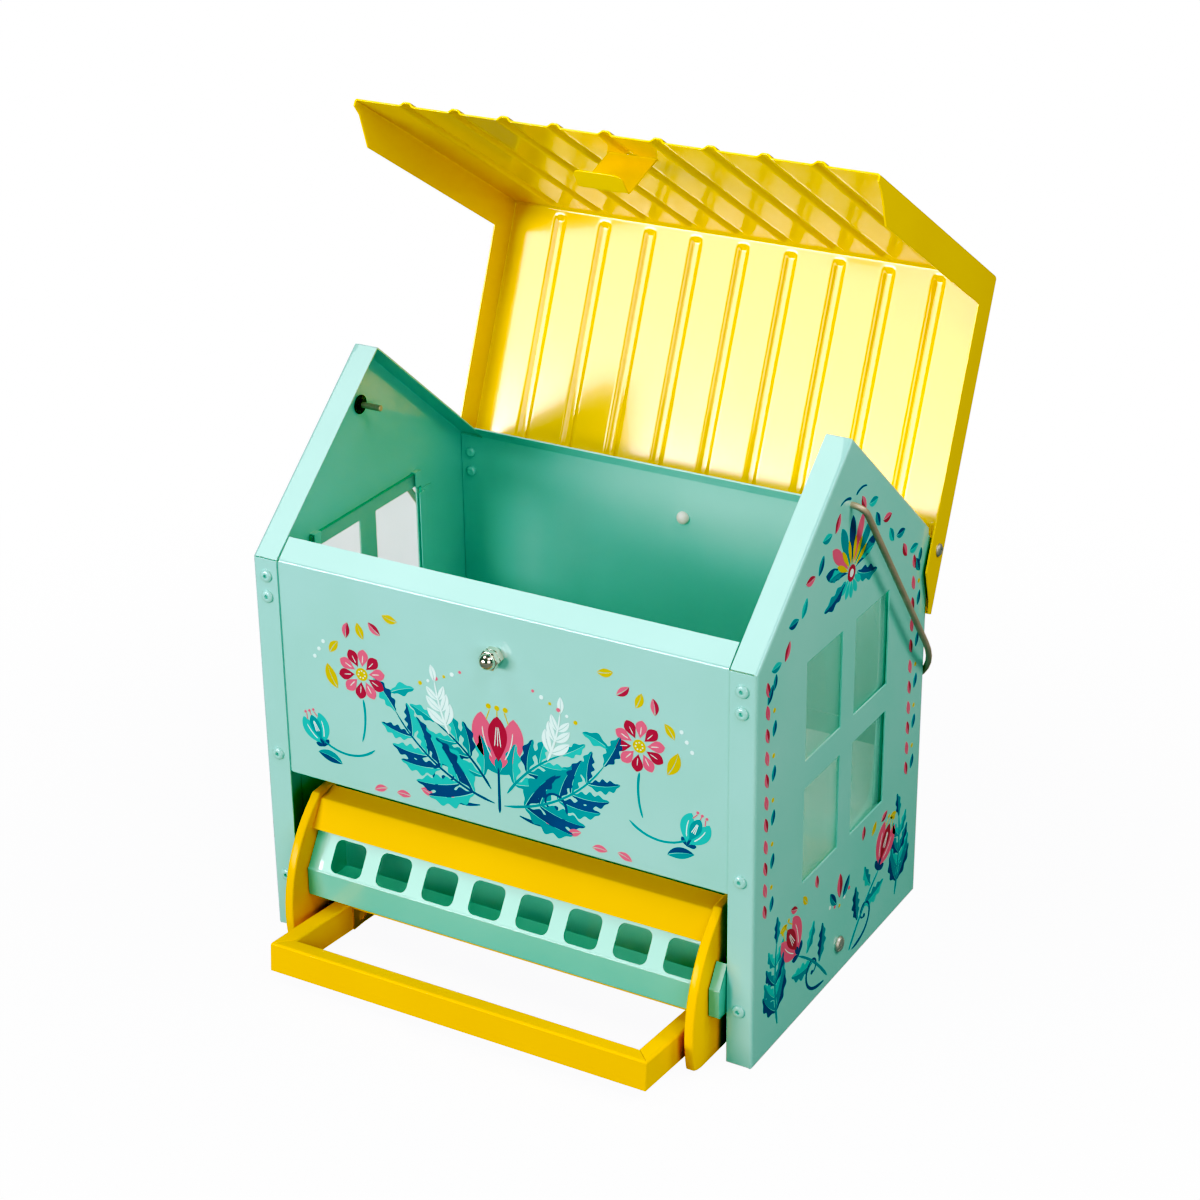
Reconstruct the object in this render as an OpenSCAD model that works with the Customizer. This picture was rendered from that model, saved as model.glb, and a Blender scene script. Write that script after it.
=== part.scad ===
// Squirrel-proof hopper bird feeder, folded sheet steel, millimetres.
// +Z up, -Y to the front (the perch side), +X to the right of someone facing it.
// The origin is the middle of the footprint, on the surface that it stands on.
// It is drawn as it stands: lid thrown back on its stop, feeding gate up, bail hanging behind.

/* [Housing] */
// width over the side panels
body_w = 300; // [260:1:340]
// depth over the flanges
body_d = 205.4; // [180:0.2:240]
// height of the eaves
eave_h = 227.3; // [200:0.1:260]
// height of the gable tip
apex_h = 314.5; // [280:0.5:350]
// sheet thickness
sheet_t = 1; // [0.6:0.1:1.5]
// width of the folded edge round each side panel
flange_w = 15; // [10:0.5:20]
// height of the front panel's lower edge
front_z0 = 100; // [80:1:120]

/* [Windows] */
// width of one window light
win_w = 42; // [30:0.5:50]
// height of one window light
win_h = 56; // [40:0.5:60]
// front edges of the two columns, measured from mid depth
win_y = [-47.2, 10.4];
// lower edges of the two rows, measured down from the eaves
win_drop = [144.8, 72.7];
// pane thickness
pane_t = 2; // [1:0.5:3]

/* [Lid] */
// how far each slope reaches past the eaves
lid_over = 52.273; // [40:0.001:65]
// gap between the side panels and the lid's end flanges
lid_gap = 1.9; // [1.5:0.1:4]
// height of the end flanges, square to the slope
lid_flange = 20; // [12:0.5:28]
// hinge line behind the rear flanges
hinge_back = 6.7; // [6.3:0.1:8]
// hinge line below the eaves
hinge_drop = 15.7; // [14:0.1:18]
// gap between the thrown-back lid's free edge and the rear flanges
lid_rest = 1.183; // [1:0.001:3]
// pressed ribs on each slope
rib_n = 9; // [3:1:11]
// spacing of the ribs
rib_pitch = 30.1; // [20:0.1:40]

/* [Latch] */
// latch stud below the eaves
stud_drop = 24.6; // [22:0.1:40]
// the latch plate hangs this far in front of the front panel
latch_out = 13.844; // [13:0.001:16]
// half width of the latch plate
latch_x = 14.3; // [10:0.1:18]

/* [Tray] */
// height of the tray's lip
lip_z = [30.1, 47.5];
// front of the lip, ahead of the front flanges
lip_out = 7.5; // [5:0.1:12]
// feeding ports
port_n = 8; // [4:1:10]
// width of one port
port_w = 20.2; // [15:0.1:26]
// height of one port along the plate
port_h = 19.8; // [12:0.2:20]
// corner radius of the ports
port_r = 4; // [2:0.5:5]
// plain ends of the port plate, left and right
port_ends = [14.2, 1.88];
// slope of the port plate, degrees
port_a = 58; // [45:1:75]

/* [Gate and perch] */
// from the outside of the side panels to the cheeks' inner faces
cheek_in = 27.7; // [25:0.1:34]
// thickness of the cheeks
cheek_t = 5.4; // [4:0.1:8]
// height of the gate's axle
axle_z = 20; // [15:0.5:26]
// radius of the cheeks' curved front
cheek_r = 78.6; // [60:0.1:100]
// front face of the perch, ahead of the front flanges
perch_out = 51.4; // [35:0.1:65]
// from the cheeks' inner faces to the perch's ends
perch_in = 5.6; // [5:0.1:10]
// width and height of the perch rail
rail_w = 10; // [8:0.5:16]
rail_h = 17; // [12:0.5:24]

/* [Bail] */
// wire diameter
wire_d = 3.5; // [2:0.1:5]
// from the side panels to the legs' centre lines
bail_out = 7.1; // [6:0.1:10]
// pivots below the gable tips
bail_drop = 35.9; // [30:0.1:45]
// straight part of each leg and radius of its bend
bail_leg = 142; // [120:1:200]
bail_r = 72; // [15:1:100]
// gap between the resting bail and the housing's rear corners
bail_rest = 1.462; // [1.4:0.001:4]

/* [Counterweight] */
// radius of the steel bar that holds the gate up
weight_r = 13; // [8:0.5:16]

/* [Hidden] */
hw = body_w / 2;
hd = body_d / 2;
t = sheet_t;
roof_a = atan((apex_h - eave_h) / hd);
ca = cos(roof_a);
sa = sin(roof_a);
ridge_z = apex_h + 0.25 + t / ca;      // outer ridge line of the closed lid
panel_x = hw - t - 0.2;                // half width of what fits between the side panels
in_y = hd - t;                         // inner face of the front and rear flanges
panel_top = eave_h - 1.2;              // where the panels stop beside the side panels' flanges
fold_x = hw - flange_w - 1;            // half width of what folds between the side panels' flanges
lid_len = hd / ca + lid_over;          // length of each slope, ridge to free edge
lid_x = hw + lid_gap + t;              // half width over the lid's end flanges
hinge_y = hd + hinge_back;
hinge_z = eave_h - hinge_drop;
edge_arm = [lid_len * ca - hinge_y, ridge_z - lid_len * sa - hinge_z];  // hinge to free edge, closed
// how far the lid is thrown back from closed, degrees
lid_open = acos((lid_rest - hinge_back) / norm(edge_arm)) - atan2(-edge_arm[1], edge_arm[0]);
stud_z = eave_h - stud_drop;
slot_s = (in_y + latch_out + t / 2 * sa) / ca;  // slot in the front slope, down from the ridge
rivet_r = 1.6;
stud_r = 3;                            // M6 screw, its nuts and the plug behind it
nut_flats = 10;
dome_r = 4.6;
plug_r = 2.5;
riv_x = hw - 8;
foot_riv_z = lip_z[0] + 3.2;
front_riv = [[riv_x, eave_h - 10.2], [riv_x, eave_h - 22.2], [riv_x, front_z0 + 10.2], [riv_x, foot_riv_z]];
rear_riv = [[riv_x, hinge_z + 4.4], [riv_x, hinge_z - 7.6], [riv_x, 120], [riv_x, 60]];
win_z = [for (d = win_drop) eave_h - d];
win_top = win_z[1] + win_h;
pane_y = win_y[1] + win_w + 1.6;       // half width of the panes
pane_in = hw - t - 0.3 - pane_t;       // inner face of the panes
lip_y = -hd - lip_out;
cheek_x = hw - cheek_in;
tray_x = fold_x + 0.6;                 // half width of the seed tray
port_x0 = -cheek_x + port_ends[0];
port_pitch = (2 * cheek_x - port_ends[0] - port_ends[1] - port_w) / (port_n - 1);
slot_w = cheek_t + 1.6;                // tray slots round the cheeks
pocket_y = -hd + 27.7;                 // rear wall of the gate's pocket
floor_y0 = pocket_y + 0.4;             // where the tray's floor meets the hopper's floor
shelf_z = lip_z[1] + 18.2;             // turned-back top of the port plate
shelf_y = lip_y + t + 18.2 / tan(port_a);
gate_lo = [-hd + 0.1, shelf_z + 2.9];
gate_fold = gate_lo + [9.2, 14.6];
gate_back = gate_fold + [12.4, 2.4];
rim_c = [-hd + 55.9, axle_z + 2.6];
cross_y = -hd + 9.7;                   // front and top of the bar that ties the cheeks
cross_z = lip_z[0] - 2.2;
perch_y = -hd - perch_out;
perch_x = cheek_x - perch_in;
perch_z = 24.7;                        // top of the perch's front edge
arm_slope = -5.3;
arm_end = -hd + 36.7;                  // rear end of the perch arms
arm_riv = [-hd + 27.7, 10];
eye_y = -hd + 20;
eye_z = 7.4;
axle_r = 4;
pin_gap = 0.06;
wire_r = wire_d / 2;
bail_x = hw + bail_out;                // half width between the legs' centre lines
bail_z = apex_h - bail_drop;
bend_r = bail_out - 0.15;              // bend of each leg just outside its hole
bail_turn = acos((bail_r - bail_out) / bail_r);  // part of the lower bend that is beside the housing
// angle of the hanging bail from straight down, degrees
bail_a = asin((hd + wire_r + bail_rest) / (bail_leg + bail_r * sin(bail_turn)));
floor_z1 = 88;                         // height of the sloping floor at the rear panel
weight_y = hd - 21.7;
weight_z = axle_z + 2;

// helpers

// a flat outline in (y, z), extruded along x from x0 to x1
module yz(x0, x1) translate([x0, 0, 0]) rotate([90, 0, 90]) linear_extrude(x1 - x0) children();
// mirror for the left-hand piece
module left() mirror([1, 0, 0]) children();
module both() { children(); left() children(); }
module rod_x(x0, x1, r, y, z) translate([x0, y, z]) rotate([0, 90, 0]) cylinder(h = x1 - x0, r = r, $fn = 48);
module rod_y(y0, y1, r, x, z) translate([x, y0, z]) rotate([-90, 0, 0]) cylinder(h = y1 - y0, r = r, $fn = 48);
module slab(a, b) translate(a) cube(b - a);

// a strip of thickness w along a line of points, to the left of its direction
function unit(v) = v / norm(v);
function side(v) = [-v[1], v[0]];
function off(p, i, w) =
  i == 0 ? p[0] + w * side(unit(p[1] - p[0])) :
  i == len(p) - 1 ? p[i] + w * side(unit(p[i] - p[i - 1])) :
  let(a = side(unit(p[i] - p[i - 1])), b = side(unit(p[i + 1] - p[i])), m = unit(a + b))
  p[i] + m * w / (m * a);
module strip(p, w) polygon(concat(p, [for (i = [len(p) - 1 : -1 : 0]) off(p, i, w)]));

function gable(o) = [[-hd + o, o], [hd - o, o], [hd - o, eave_h - o / ca + o * tan(roof_a)],
                     [0, apex_h - o / ca], [-hd + o, eave_h - o / ca + o * tan(roof_a)]];

// the lid's pieces are drawn closed, then thrown back about the hinge line
module thrown() translate([0, hinge_y, hinge_z]) rotate([-lid_open, 0, 0]) translate([0, -hinge_y, -hinge_z]) children();

// housing

module side_panel() color([0.56, 0.80, 0.74]) difference() {
  union() {
    yz(hw - t, hw) polygon(gable(0));
    yz(hw - flange_w, hw - t / 2) difference() {
      polygon(gable(0));
      polygon(gable(t));
    }
  }
  // relief slits where the folded edges meet
  for (s = [-1, 1]) {
    translate([hw - flange_w - 1, s * hd, eave_h]) rotate([s * roof_a / 2, 0, 0]) translate([0, -4, -0.6]) cube([flange_w - t + 0.6, 8, 1.2]);
    translate([hw - flange_w - 1, s * hd - 2, -1]) cube([flange_w - t + 0.6, 4, 3]);
  }
  translate([hw - flange_w - 1, -0.6, apex_h - 4]) cube([flange_w - t + 0.6, 1.2, 6]);
  for (y = win_y, z = win_z) slab([hw - t - 1, y, z], [hw + 1, y + win_w, z + win_h]);
  rod_x(hw - t - 1, hw + 1, 3.1, 0, axle_z);
  rod_x(hw - t - 1, hw + 1, wire_r + pin_gap, 0, bail_z);
  for (p = front_riv) rod_y(-hd - 1, -in_y + 0.5, rivet_r, p[0], p[1]);
  for (p = rear_riv) rod_y(in_y - 0.5, hd + 1, rivet_r, p[0], p[1]);
  for (y = [-12, 12]) translate([riv_x, y, -1]) cylinder(h = 3, r = rivet_r, $fn = 48);
}
module side_panel_right() side_panel();
module side_panel_left() left() side_panel();

module front_panel() color([0.64, 0.86, 0.82]) difference() {
  union() {
    yz(-panel_x, panel_x) strip([[-in_y, front_z0], [-in_y, panel_top]], -t);
    // the top is folded up and back along the roof
    yz(-fold_x, fold_x) strip([[-in_y, panel_top - 1], [-in_y, eave_h - 0.3], [-in_y + 14 * ca, eave_h + 0.6 + 14 * sa]], -t);
    // hem along the lower edge
    yz(-fold_x, fold_x) polygon([[-in_y, front_z0], [-in_y + 5, front_z0], [-in_y + 5, front_z0 + t], [-in_y, front_z0 + t]]);
  }
  for (s = [-1, 1], p = [front_riv[0], front_riv[1], front_riv[2]]) rod_y(-hd, -in_y + 2 * t, rivet_r, s * p[0], p[1]);
  rod_y(-hd, -in_y + 2 * t, stud_r, 0, stud_z);
}
module rear_panel() color([0.50, 0.76, 0.69]) difference() {
  union() {
    yz(-panel_x, panel_x) strip([[in_y, t + 0.2], [in_y, panel_top]], t);
    yz(-fold_x, fold_x) strip([[in_y, panel_top - 1], [in_y, eave_h - 0.3], [in_y - 12 * ca, eave_h + 0.6 + 12 * sa]], t);
  }
  for (s = [-1, 1], p = rear_riv) rod_y(in_y - 2 * t, hd, rivet_r, s * p[0], p[1]);
  rod_y(in_y - 2 * t, hd, plug_r, 0, stud_z);
}
// sloping floor under the seed, with its rear edge turned up along the rear panel
module hopper_floor() color([0.60, 0.83, 0.77]) yz(-panel_x, panel_x)
  strip([[floor_y0, lip_z[0]], [in_y - t - 0.1, floor_z1], [in_y - t - 0.1, floor_z1 + 13.5]], t);
// behind the gate: it keeps the seed out of the gate's pocket and leads it under the shelf
module throat_baffle() color([0.48, 0.74, 0.66]) union() {
  yz(-panel_x, panel_x) strip([[pocket_y, shelf_z + 0.1], [pocket_y, front_z0], [-in_y + t + 0.1, front_z0 + 25]], -t);
  both() slab([cheek_x - 0.6, pocket_y, lip_z[0] + t + 0.4], [panel_x, pocket_y + t, shelf_z + 0.2]);
}
module port_hole(x) translate([x + port_w / 2, lip_y + t, lip_z[1]]) rotate([port_a, 0, 0]) translate([0, 0, -3])
  linear_extrude(6) translate([0, port_h / 2 + 0.4]) union() {
    square([port_w, port_h - 2 * port_r], center = true);
    square([port_w - 2 * port_r, port_h], center = true);
    for (sx = [-1, 1], sy = [-1, 1]) translate([sx * (port_w / 2 - port_r), sy * (port_h / 2 - port_r)]) circle(r = port_r, $fn = 32);
  }
module seed_tray() color([0.62, 0.84, 0.79]) difference() {
  union() {
    // floor, lip and port plate are one folded sheet
    yz(-tray_x, tray_x) strip([[-in_y + 1.3, lip_z[0]], [lip_y, lip_z[0]], [lip_y, lip_z[1]]], -t);
    yz(-tray_x, tray_x) strip([[lip_y + t - 1.2 / tan(port_a), lip_z[1] - 1.2], [shelf_y, shelf_z]], -t);
    yz(-tray_x, tray_x) slab2([-in_y + 0.7, lip_z[0]], [pocket_y, lip_z[0] + t]);
    yz(-cheek_x + 0.7, cheek_x - 0.7) slab2([shelf_y, shelf_z - t], [pocket_y + t, shelf_z]);
    // inner walls beside the cheeks, and end walls
    both() yz(cheek_x - 1.7, cheek_x - 0.7) polygon([[lip_y + t / 2, lip_z[0] + t / 2], [pocket_y, lip_z[0] + t / 2],
      [pocket_y, shelf_z - t / 2], [shelf_y, shelf_z - t / 2], [lip_y + t, lip_z[1]]]);
    both() yz(tray_x - t, tray_x) polygon([[lip_y + t / 2, lip_z[0] + t / 2], [-in_y + 0.6, lip_z[0] + t / 2],
      [-in_y + 0.6, lip_z[1] + 11.5], [lip_y + t, lip_z[1]]]);
    // tabs riveted behind the front flanges
    both() slab([tray_x - t, -in_y + 0.1, lip_z[0]], [panel_x, -in_y + t + 0.1, lip_z[1] + 10.5]);
  }
  for (i = [0 : port_n - 1]) port_hole(port_x0 + i * port_pitch);
  // slots for the cheeks, and the plate beyond them cut back to the opening
  both() slab([cheek_x - 0.45, lip_y - 2, lip_z[0] - 1], [cheek_x - 0.7 + slot_w, pocket_y - 0.4, shelf_z + 2]);
  both() slab([cheek_x + 4, -hd + 4.7, lip_z[1] - 7.5], [tray_x + 2.4, pocket_y + 5, shelf_z + 2]);
  both() rod_y(-hd - 1, -in_y + 2 * t, rivet_r, riv_x, foot_riv_z);
}
module slab2(a, b) polygon([a, [b[0], a[1]], b, [a[0], b[1]]]);
// strip that ties the side panels together and stands on the surface
module bottom_brace() color([0.5, 0.76, 0.7]) difference() {
  union() {
    slab([-hw + flange_w + 0.1, -20, 0], [hw - flange_w - 0.1, 20, t]);
    both() slab([hw - flange_w - 3, -20, t / 2], [hw - flange_w - 0.1, 20, t + 1.1]);
    both() slab([hw - flange_w - 3, -20, t + 0.1], [panel_x, 20, t + 1.1]);
  }
  both() for (y = [-12, 12]) translate([riv_x, y, -1]) cylinder(h = 5, r = rivet_r, $fn = 48);
}

// windows
module pane() color([0.75, 0.92, 0.86, 0.4]) slab([pane_in, -pane_y, win_z[0] - 8], [pane_in + pane_t, pane_y, win_top + 9.5]);
module pane_right() pane();
module pane_left() left() pane();
module pane_channels() color([0.42, 0.72, 0.62]) for (s = [-1, 1]) let(z0 = win_z[0] - 6 + 3 * s)
  translate([0, 0, z0]) linear_extrude(win_top - 3.1 - z0) polygon([for (p = channel_line()) [p[0], s * (pane_y + p[1])]]);
function channel_line() = [[hw - t, 0.4], [hw - t, 12], [hw - t - 1, 12], [hw - t - 1, 2],
                           [pane_in - 1.7, 2], [pane_in - 1.7, -4], [pane_in - 0.9, -4], [pane_in - 0.9, 0.4]];
module pane_channels_right() pane_channels();
module pane_channels_left() left() pane_channels();
module pane_clips() color([0.25, 0.24, 0.22]) for (y = [-pane_y + 1, pane_y - 7]) union() {
  slab([pane_in - 1.1, y, win_top + 9.6], [hw - t - 0.05, y + 6, win_top + 10.4]);
  slab([pane_in - 1.1, y, win_top + 1], [pane_in - 0.3, y + 6, win_top + 10.4]);
}
module pane_clips_right() pane_clips();
module pane_clips_left() left() pane_clips();

// fixings
// blind rivet along +y, head at y0, of grip g, with the snapped mandrel's hollow
module rivet(g) rotate([-90, 0, 0]) difference() {
  union() {
    rotate_extrude($fn = 48) polygon([[0, -1.5], [1.5, -1.5], [2.6, -1.1], [3.3, -0.35], [3.4, 0], [rivet_r, 0], [rivet_r, g], [3, g], [2.9, g + 1.1], [2.1, g + 1.9], [0, g + 2.2]]);
  }
  translate([0, 0, -2]) cylinder(h = 1.4, r = 1, $fn = 24);
}
module rivets_front() color([0.58, 0.82, 0.77]) both() for (p = front_riv) translate([p[0], -hd, p[1]]) rivet(2 * t + 0.1);
module rivets_rear() color([0.58, 0.82, 0.77]) both() for (i = [0 : 3]) let(p = rear_riv[i], b = i < 2 ? 1 : 0)
  translate([p[0], hd + b, p[1]]) mirror([0, 1, 0]) rivet(2 * t + b);
module rivets_brace() color([0.58, 0.82, 0.77]) both() for (y = [-12, 12]) translate([riv_x, y, 0])
  rotate_extrude($fn = 48) polygon([[0, 0], [rivet_r, 0], [rivet_r, 2.1], [3.2, 2.1], [3, 3], [0, 3.4]]);
module hex_y(y0, y1, af, x, z) translate([x, y0, z]) rotate([-90, 0, 0]) cylinder(h = y1 - y0, r = af / sqrt(3), $fn = 6);
// fixed screw, head inside, that carries the hex nut and the acorn nut
module latch_stud() color([0.7, 0.68, 0.64]) union() {
  rod_y(-in_y - 8.4, -in_y + t, stud_r, 0, stud_z);
  rod_y(-in_y + t, -in_y + t + 3, 5.6, 0, stud_z);
}
module latch_nut() color([0.78, 0.76, 0.72]) difference() {
  hex_y(-in_y - 3.9, -in_y, nut_flats, 0, stud_z);
  rod_y(-in_y - 5, -in_y + 1, stud_r, 0, stud_z);
}
module latch_acorn() color([0.86, 0.84, 0.80]) difference() {
  union() {
    hex_y(-in_y - 7.2, -in_y - 4, nut_flats, 0, stud_z);
    translate([0, -in_y - 7.1, stud_z]) intersection() {
      sphere(r = dome_r, $fn = 64);
      translate([-6, -6, -6]) cube([12, 6, 12]);
    }
  }
  rod_y(-in_y - 8.4, -in_y + 1, stud_r, 0, stud_z);
}
// white plug in the rear panel's hole
module rear_plug() color([0.93, 0.93, 0.9]) translate([0, in_y - t, stud_z]) rotate([-90, 0, 0]) rotate_extrude($fn = 48)
  polygon([[0, -3.2], [1.4, -3], [2.6, -2.2], [3.4, -0.9], [3.5, 0], [plug_r, 0], [plug_r, t], [3.1, t + 0.1], [2.8, t + 2.2], [0, t + 2.4]]);
module axle_rod() color([0.62, 0.62, 0.62]) difference() {
  rod_x(-hw + t, hw - t, axle_r, 0, axle_z);
  both() rod_x(hw - t - 12, hw + 1, 1.9, 0, axle_z);
}
// slotted screw in the end of the axle
module axle_screw() color([0.72, 0.71, 0.68]) difference() {
  union() {
    rod_x(hw - t - 11, hw + 0.1, 1.9, 0, axle_z);
    translate([hw, 0, axle_z]) rotate([0, 90, 0]) rotate_extrude($fn = 48) polygon([[0, 0], [4.6, 0], [4.6, 1], [3.8, 2], [0, 2.5]]);
    rod_x(hw - t + 0.02, hw, 3.05, 0, axle_z);
  }
  translate([hw + 3.2, 0, axle_z]) rotate([35, 0, 0]) cube([3.2, 12, 1.1], center = true);
}
module axle_screw_right() axle_screw();
module axle_screw_left() left() axle_screw();
// riveted to the rear flange, with an ear turned back for the hinge
module hinge_bracket() color([0.56, 0.80, 0.74]) difference() {
  union() {
    slab([hw - flange_w + 0.5, hd, hinge_z - 13.6], [hw - 0.1, hd + t, hinge_z + 10.4]);
    yz(hw - 1.1, hw - 0.1) union() {
      polygon([[hd + t / 2, hinge_z - 9.6], [hinge_y, hinge_z - 6.2], [hinge_y, hinge_z + 6.2], [hd + t / 2, hinge_z + 9.4]]);
      translate([hinge_y, hinge_z]) circle(r = 6.2, $fn = 48);
    }
  }
  for (p = [rear_riv[0], rear_riv[1]]) rod_y(hd - 1, hd + 3, rivet_r, p[0], p[1]);
  rod_x(hw - 3, hw + 1, 2 + pin_gap, hinge_y, hinge_z);
}
module hinge_bracket_right() hinge_bracket();
module hinge_bracket_left() left() hinge_bracket();

// lid

// outline across the ribs of one slope, outer surface at 0
function rib_line(h, w0, w1, o) = [for (i = [0 : rib_n - 1]) let(c = (i - (rib_n - 1) / 2) * rib_pitch)
  for (p = [[-w0, 0], [-w1, h], [w1, h], [w0, 0]]) [c + p[0], p[1] + o]];
// the slopes stop short of the end flanges' outer faces, as a bend does
slope_x = lid_x - 0.3 * t;
module slope_section() polygon(concat([[-slope_x, 0]], rib_line(2, 3.8, 1.2, 0), [[slope_x, 0], [slope_x, -t]],
  [for (i = [4 * rib_n - 1 : -1 : 0]) rib_line(2, 3.2, 0.7, -t)[i]], [[-slope_x, -t]]));
module lid_slope() {
  // s runs down the slope along -y before it is tilted
  translate([0, -3.5, 0]) rotate([90, 0, 0]) linear_extrude(lid_len - 3.5) slope_section();
  slab([-slope_x, -4, -t], [slope_x, 0, 0]);
  // rounded rib ends near the ridge
  for (i = [0 : rib_n - 1]) translate([(i - (rib_n - 1) / 2) * rib_pitch, -3.5, -0.01]) intersection() {
    cylinder(h = 2.01, r1 = 3.8, r2 = 1.2, $fn = 24);
    translate([-5, -0.1, 0]) cube([10, 5, 3]);
  }
}
function on_slope(s, n) = [-s * ca - n * sa, ridge_z - s * sa + n * ca];
flange_s = lid_len - 0.3 * t;
flange_cut = lid_len - 4 - (lid_flange - 4) * ca / sa;
function half_flange(m) = [for (p = [[flange_s, -0.3 * t], [flange_s, -4], [flange_cut, -lid_flange]]) [m * on_slope(p[0], p[1])[0], on_slope(p[0], p[1])[1]]];
module end_flange() yz(lid_x - t, lid_x) polygon(concat([[0, ridge_z - 0.3 * t / ca]], half_flange(1), [[0, ridge_z - lid_flange / ca]],
  [for (i = [2 : -1 : 0]) half_flange(-1)[i]]));
// the rear flange's end laps inside the front one at the ridge
module flange_lap() yz(lid_x - 1.95 * t, lid_x - t + 0.05) polygon([for (p = [[0, -1.6], [0, -lid_flange], [-8, -lid_flange + 1.5], [-8, -3]])
  let(q = on_slope(-p[0], p[1])) [-q[0], q[1]]]);
module lid_shell() color([0.88, 0.74, 0.06]) thrown() difference() {
  union() {
    translate([0, 0, ridge_z]) rotate([roof_a, 0, 0]) lid_slope();
    mirror([0, 1, 0]) translate([0, 0, ridge_z]) rotate([roof_a, 0, 0]) lid_slope();
    both() end_flange();
    both() flange_lap();
    // the ridge is bent, not sharp
    yz(-slope_x + 0.2 * t, slope_x - 0.2 * t) polygon([[0, ridge_z - t / ca], [-2.5, ridge_z - 2.5 * tan(roof_a) - t], [-1.5, ridge_z - 1.5 * tan(roof_a)], [1.5, ridge_z - 1.5 * tan(roof_a)], [2.5, ridge_z - 2.5 * tan(roof_a) - t]]);
  }
  slab([-200, -1.2, ridge_z - 0.9], [200, 1.2, ridge_z + 3]);
  // slot for the latch
  translate([0, on_slope(slot_s, 0)[0], on_slope(slot_s, 0)[1]]) rotate([roof_a, 0, 0]) translate([-latch_x - 0.6, -2.5, -6]) cube([2 * latch_x + 1.2, 3.7, 12]);
  both() rod_x(lid_x - 3, lid_x + 1, 2, hinge_y, hinge_z);
}
module hinge_rivet() color([0.85, 0.85, 0.83]) thrown() translate([0, hinge_y, hinge_z]) rotate([0, 90, 0]) rotate_extrude($fn = 48)
  polygon([[0, hw - 2.4], [2.9, hw - 2.2], [3, hw - 1.25], [2, hw - 1.25], [2, lid_x], [3.8, lid_x], [3.6, lid_x + 0.7], [2.6, lid_x + 1.5], [1.1, lid_x + 1.7], [1, lid_x + 0.6], [0, lid_x + 0.6]]);
module hinge_rivet_right() hinge_rivet();
module hinge_rivet_left() left() hinge_rivet();
module hinge_washer() color([0.92, 0.92, 0.9]) difference() {
  rod_x(hw + 0.05, lid_x - t - 0.05, 4.4, hinge_y, hinge_z);
  rod_x(hw - 1, lid_x, 2.02, hinge_y, hinge_z);
}
module hinge_washer_right() hinge_washer();
module hinge_washer_left() left() hinge_washer();

// latch: a sprung plate that hangs in the slot by a rolled head
latch_line = on_slope(slot_s, -t / 2);
latch_pin = latch_line + [-0.11, 2.53];
module latch_hook() color([0.90, 0.80, 0.05]) thrown() union() {
  difference() {
    yz(-latch_x, latch_x) translate([0.4, 0]) strip(concat([latch_line], [for (p = [[-13.2, -15.2], [-13.7, -17.5], [-15.3, -18.8], [-26.8, -22.1]])
      [p[0] - in_y, p[1] + stud_z]]), -0.8);
    // the lip's corners are rounded off
    both() translate([latch_x - 2, -in_y - 28.3, stud_z - 24.7]) rotate([0, 0, 45]) translate([1.2, -3, -2]) cube([4, 6, 8]);
  }
  both() yz(4.6, latch_x) translate([0.4, 0]) strip([latch_pin, latch_line, [-in_y - 13.5, stud_z + 2.3]], -0.8);
  both() rod_x(5, latch_x + 3.5, 1.3, latch_pin[0], latch_pin[1]);
}

// bail

// the bail is drawn in its own plane: u along x, v down the leg
module bail_flat() {
  both() {
    translate([bail_x - bend_r, 0, 0]) quarter_bend();
    translate([bail_x, 0, -bend_r]) rotate([180, 0, 0]) cylinder(h = bail_leg - bend_r, r = wire_r, $fn = 32);
    translate([bail_x - bail_r, 0, -bail_leg]) rotate([90, 0, 0]) rotate([0, 0, -90]) rotate_extrude(angle = 90, $fn = 128) translate([bail_r, 0]) circle(r = wire_r, $fn = 32);
    rod_x(fold_x + 0.5, bail_x - bend_r, wire_r, 0, 0);
  }
  rod_x(-bail_x + bail_r, bail_x - bail_r, wire_r, 0, -bail_leg - bail_r);
}
// quarter bend from along x to straight down
module quarter_bend() translate([0, 0, -bend_r]) rotate([90, 0, 0]) rotate_extrude(angle = 90, $fn = 96) translate([bend_r, 0]) circle(r = wire_r, $fn = 32);
module bail_wire() color([0.45, 0.41, 0.37]) translate([0, 0, bail_z]) rotate([bail_a, 0, 0]) bail_flat();
module push_nut() color([0.2, 0.19, 0.18]) translate([0, 0, bail_z]) rotate([0, 90, 0]) difference() {
  union() {
    translate([0, 0, hw - t - 1.2]) cylinder(h = 0.8, r = 5.4, $fn = 48);
    translate([0, 0, hw - t - 2.2]) cylinder(h = 1.1, r = 3, $fn = 48);
  }
  translate([0, 0, hw - t - 4]) cylinder(h = 6, r = wire_r + 0.02, $fn = 32);
  for (k = [0 : 5]) rotate([0, 0, k * 60]) translate([4.3, 0, hw - t - 1]) cylinder(h = 3, r = 0.8, center = true, $fn = 24);
}
module push_nut_right() push_nut();
module push_nut_left() left() push_nut();

// gate, cheeks, perch

module gate_bar() color([0.91, 0.76, 0.02]) yz(-cheek_x, cheek_x) strip([gate_lo, gate_fold, gate_back], -t);
function rim(a) = [rim_c[0] - cheek_r * cos(a), rim_c[1] + cheek_r * sin(a)];
// angles on the rim, from its foot up to the bar
rim_a = [for (a = [-15 : 5 : 45]) a];
function cheek_outline() = concat([[-hd + 12.7, 0.9], [-hd - 13.3, 2], [-hd - 17.9, 3.4]], [for (a = rim_a) rim(a)],
  [rim(49.5), rim(51.4) + [0.2, -0.3], gate_fold + [-1, 2.4], gate_fold + [1, 3.3], gate_back + [2, 1.4], gate_back + [3.6, -0.6],
   [pocket_y - 1.4, axle_z + 8.8], [-8, axle_z + 8.8]]);
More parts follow.
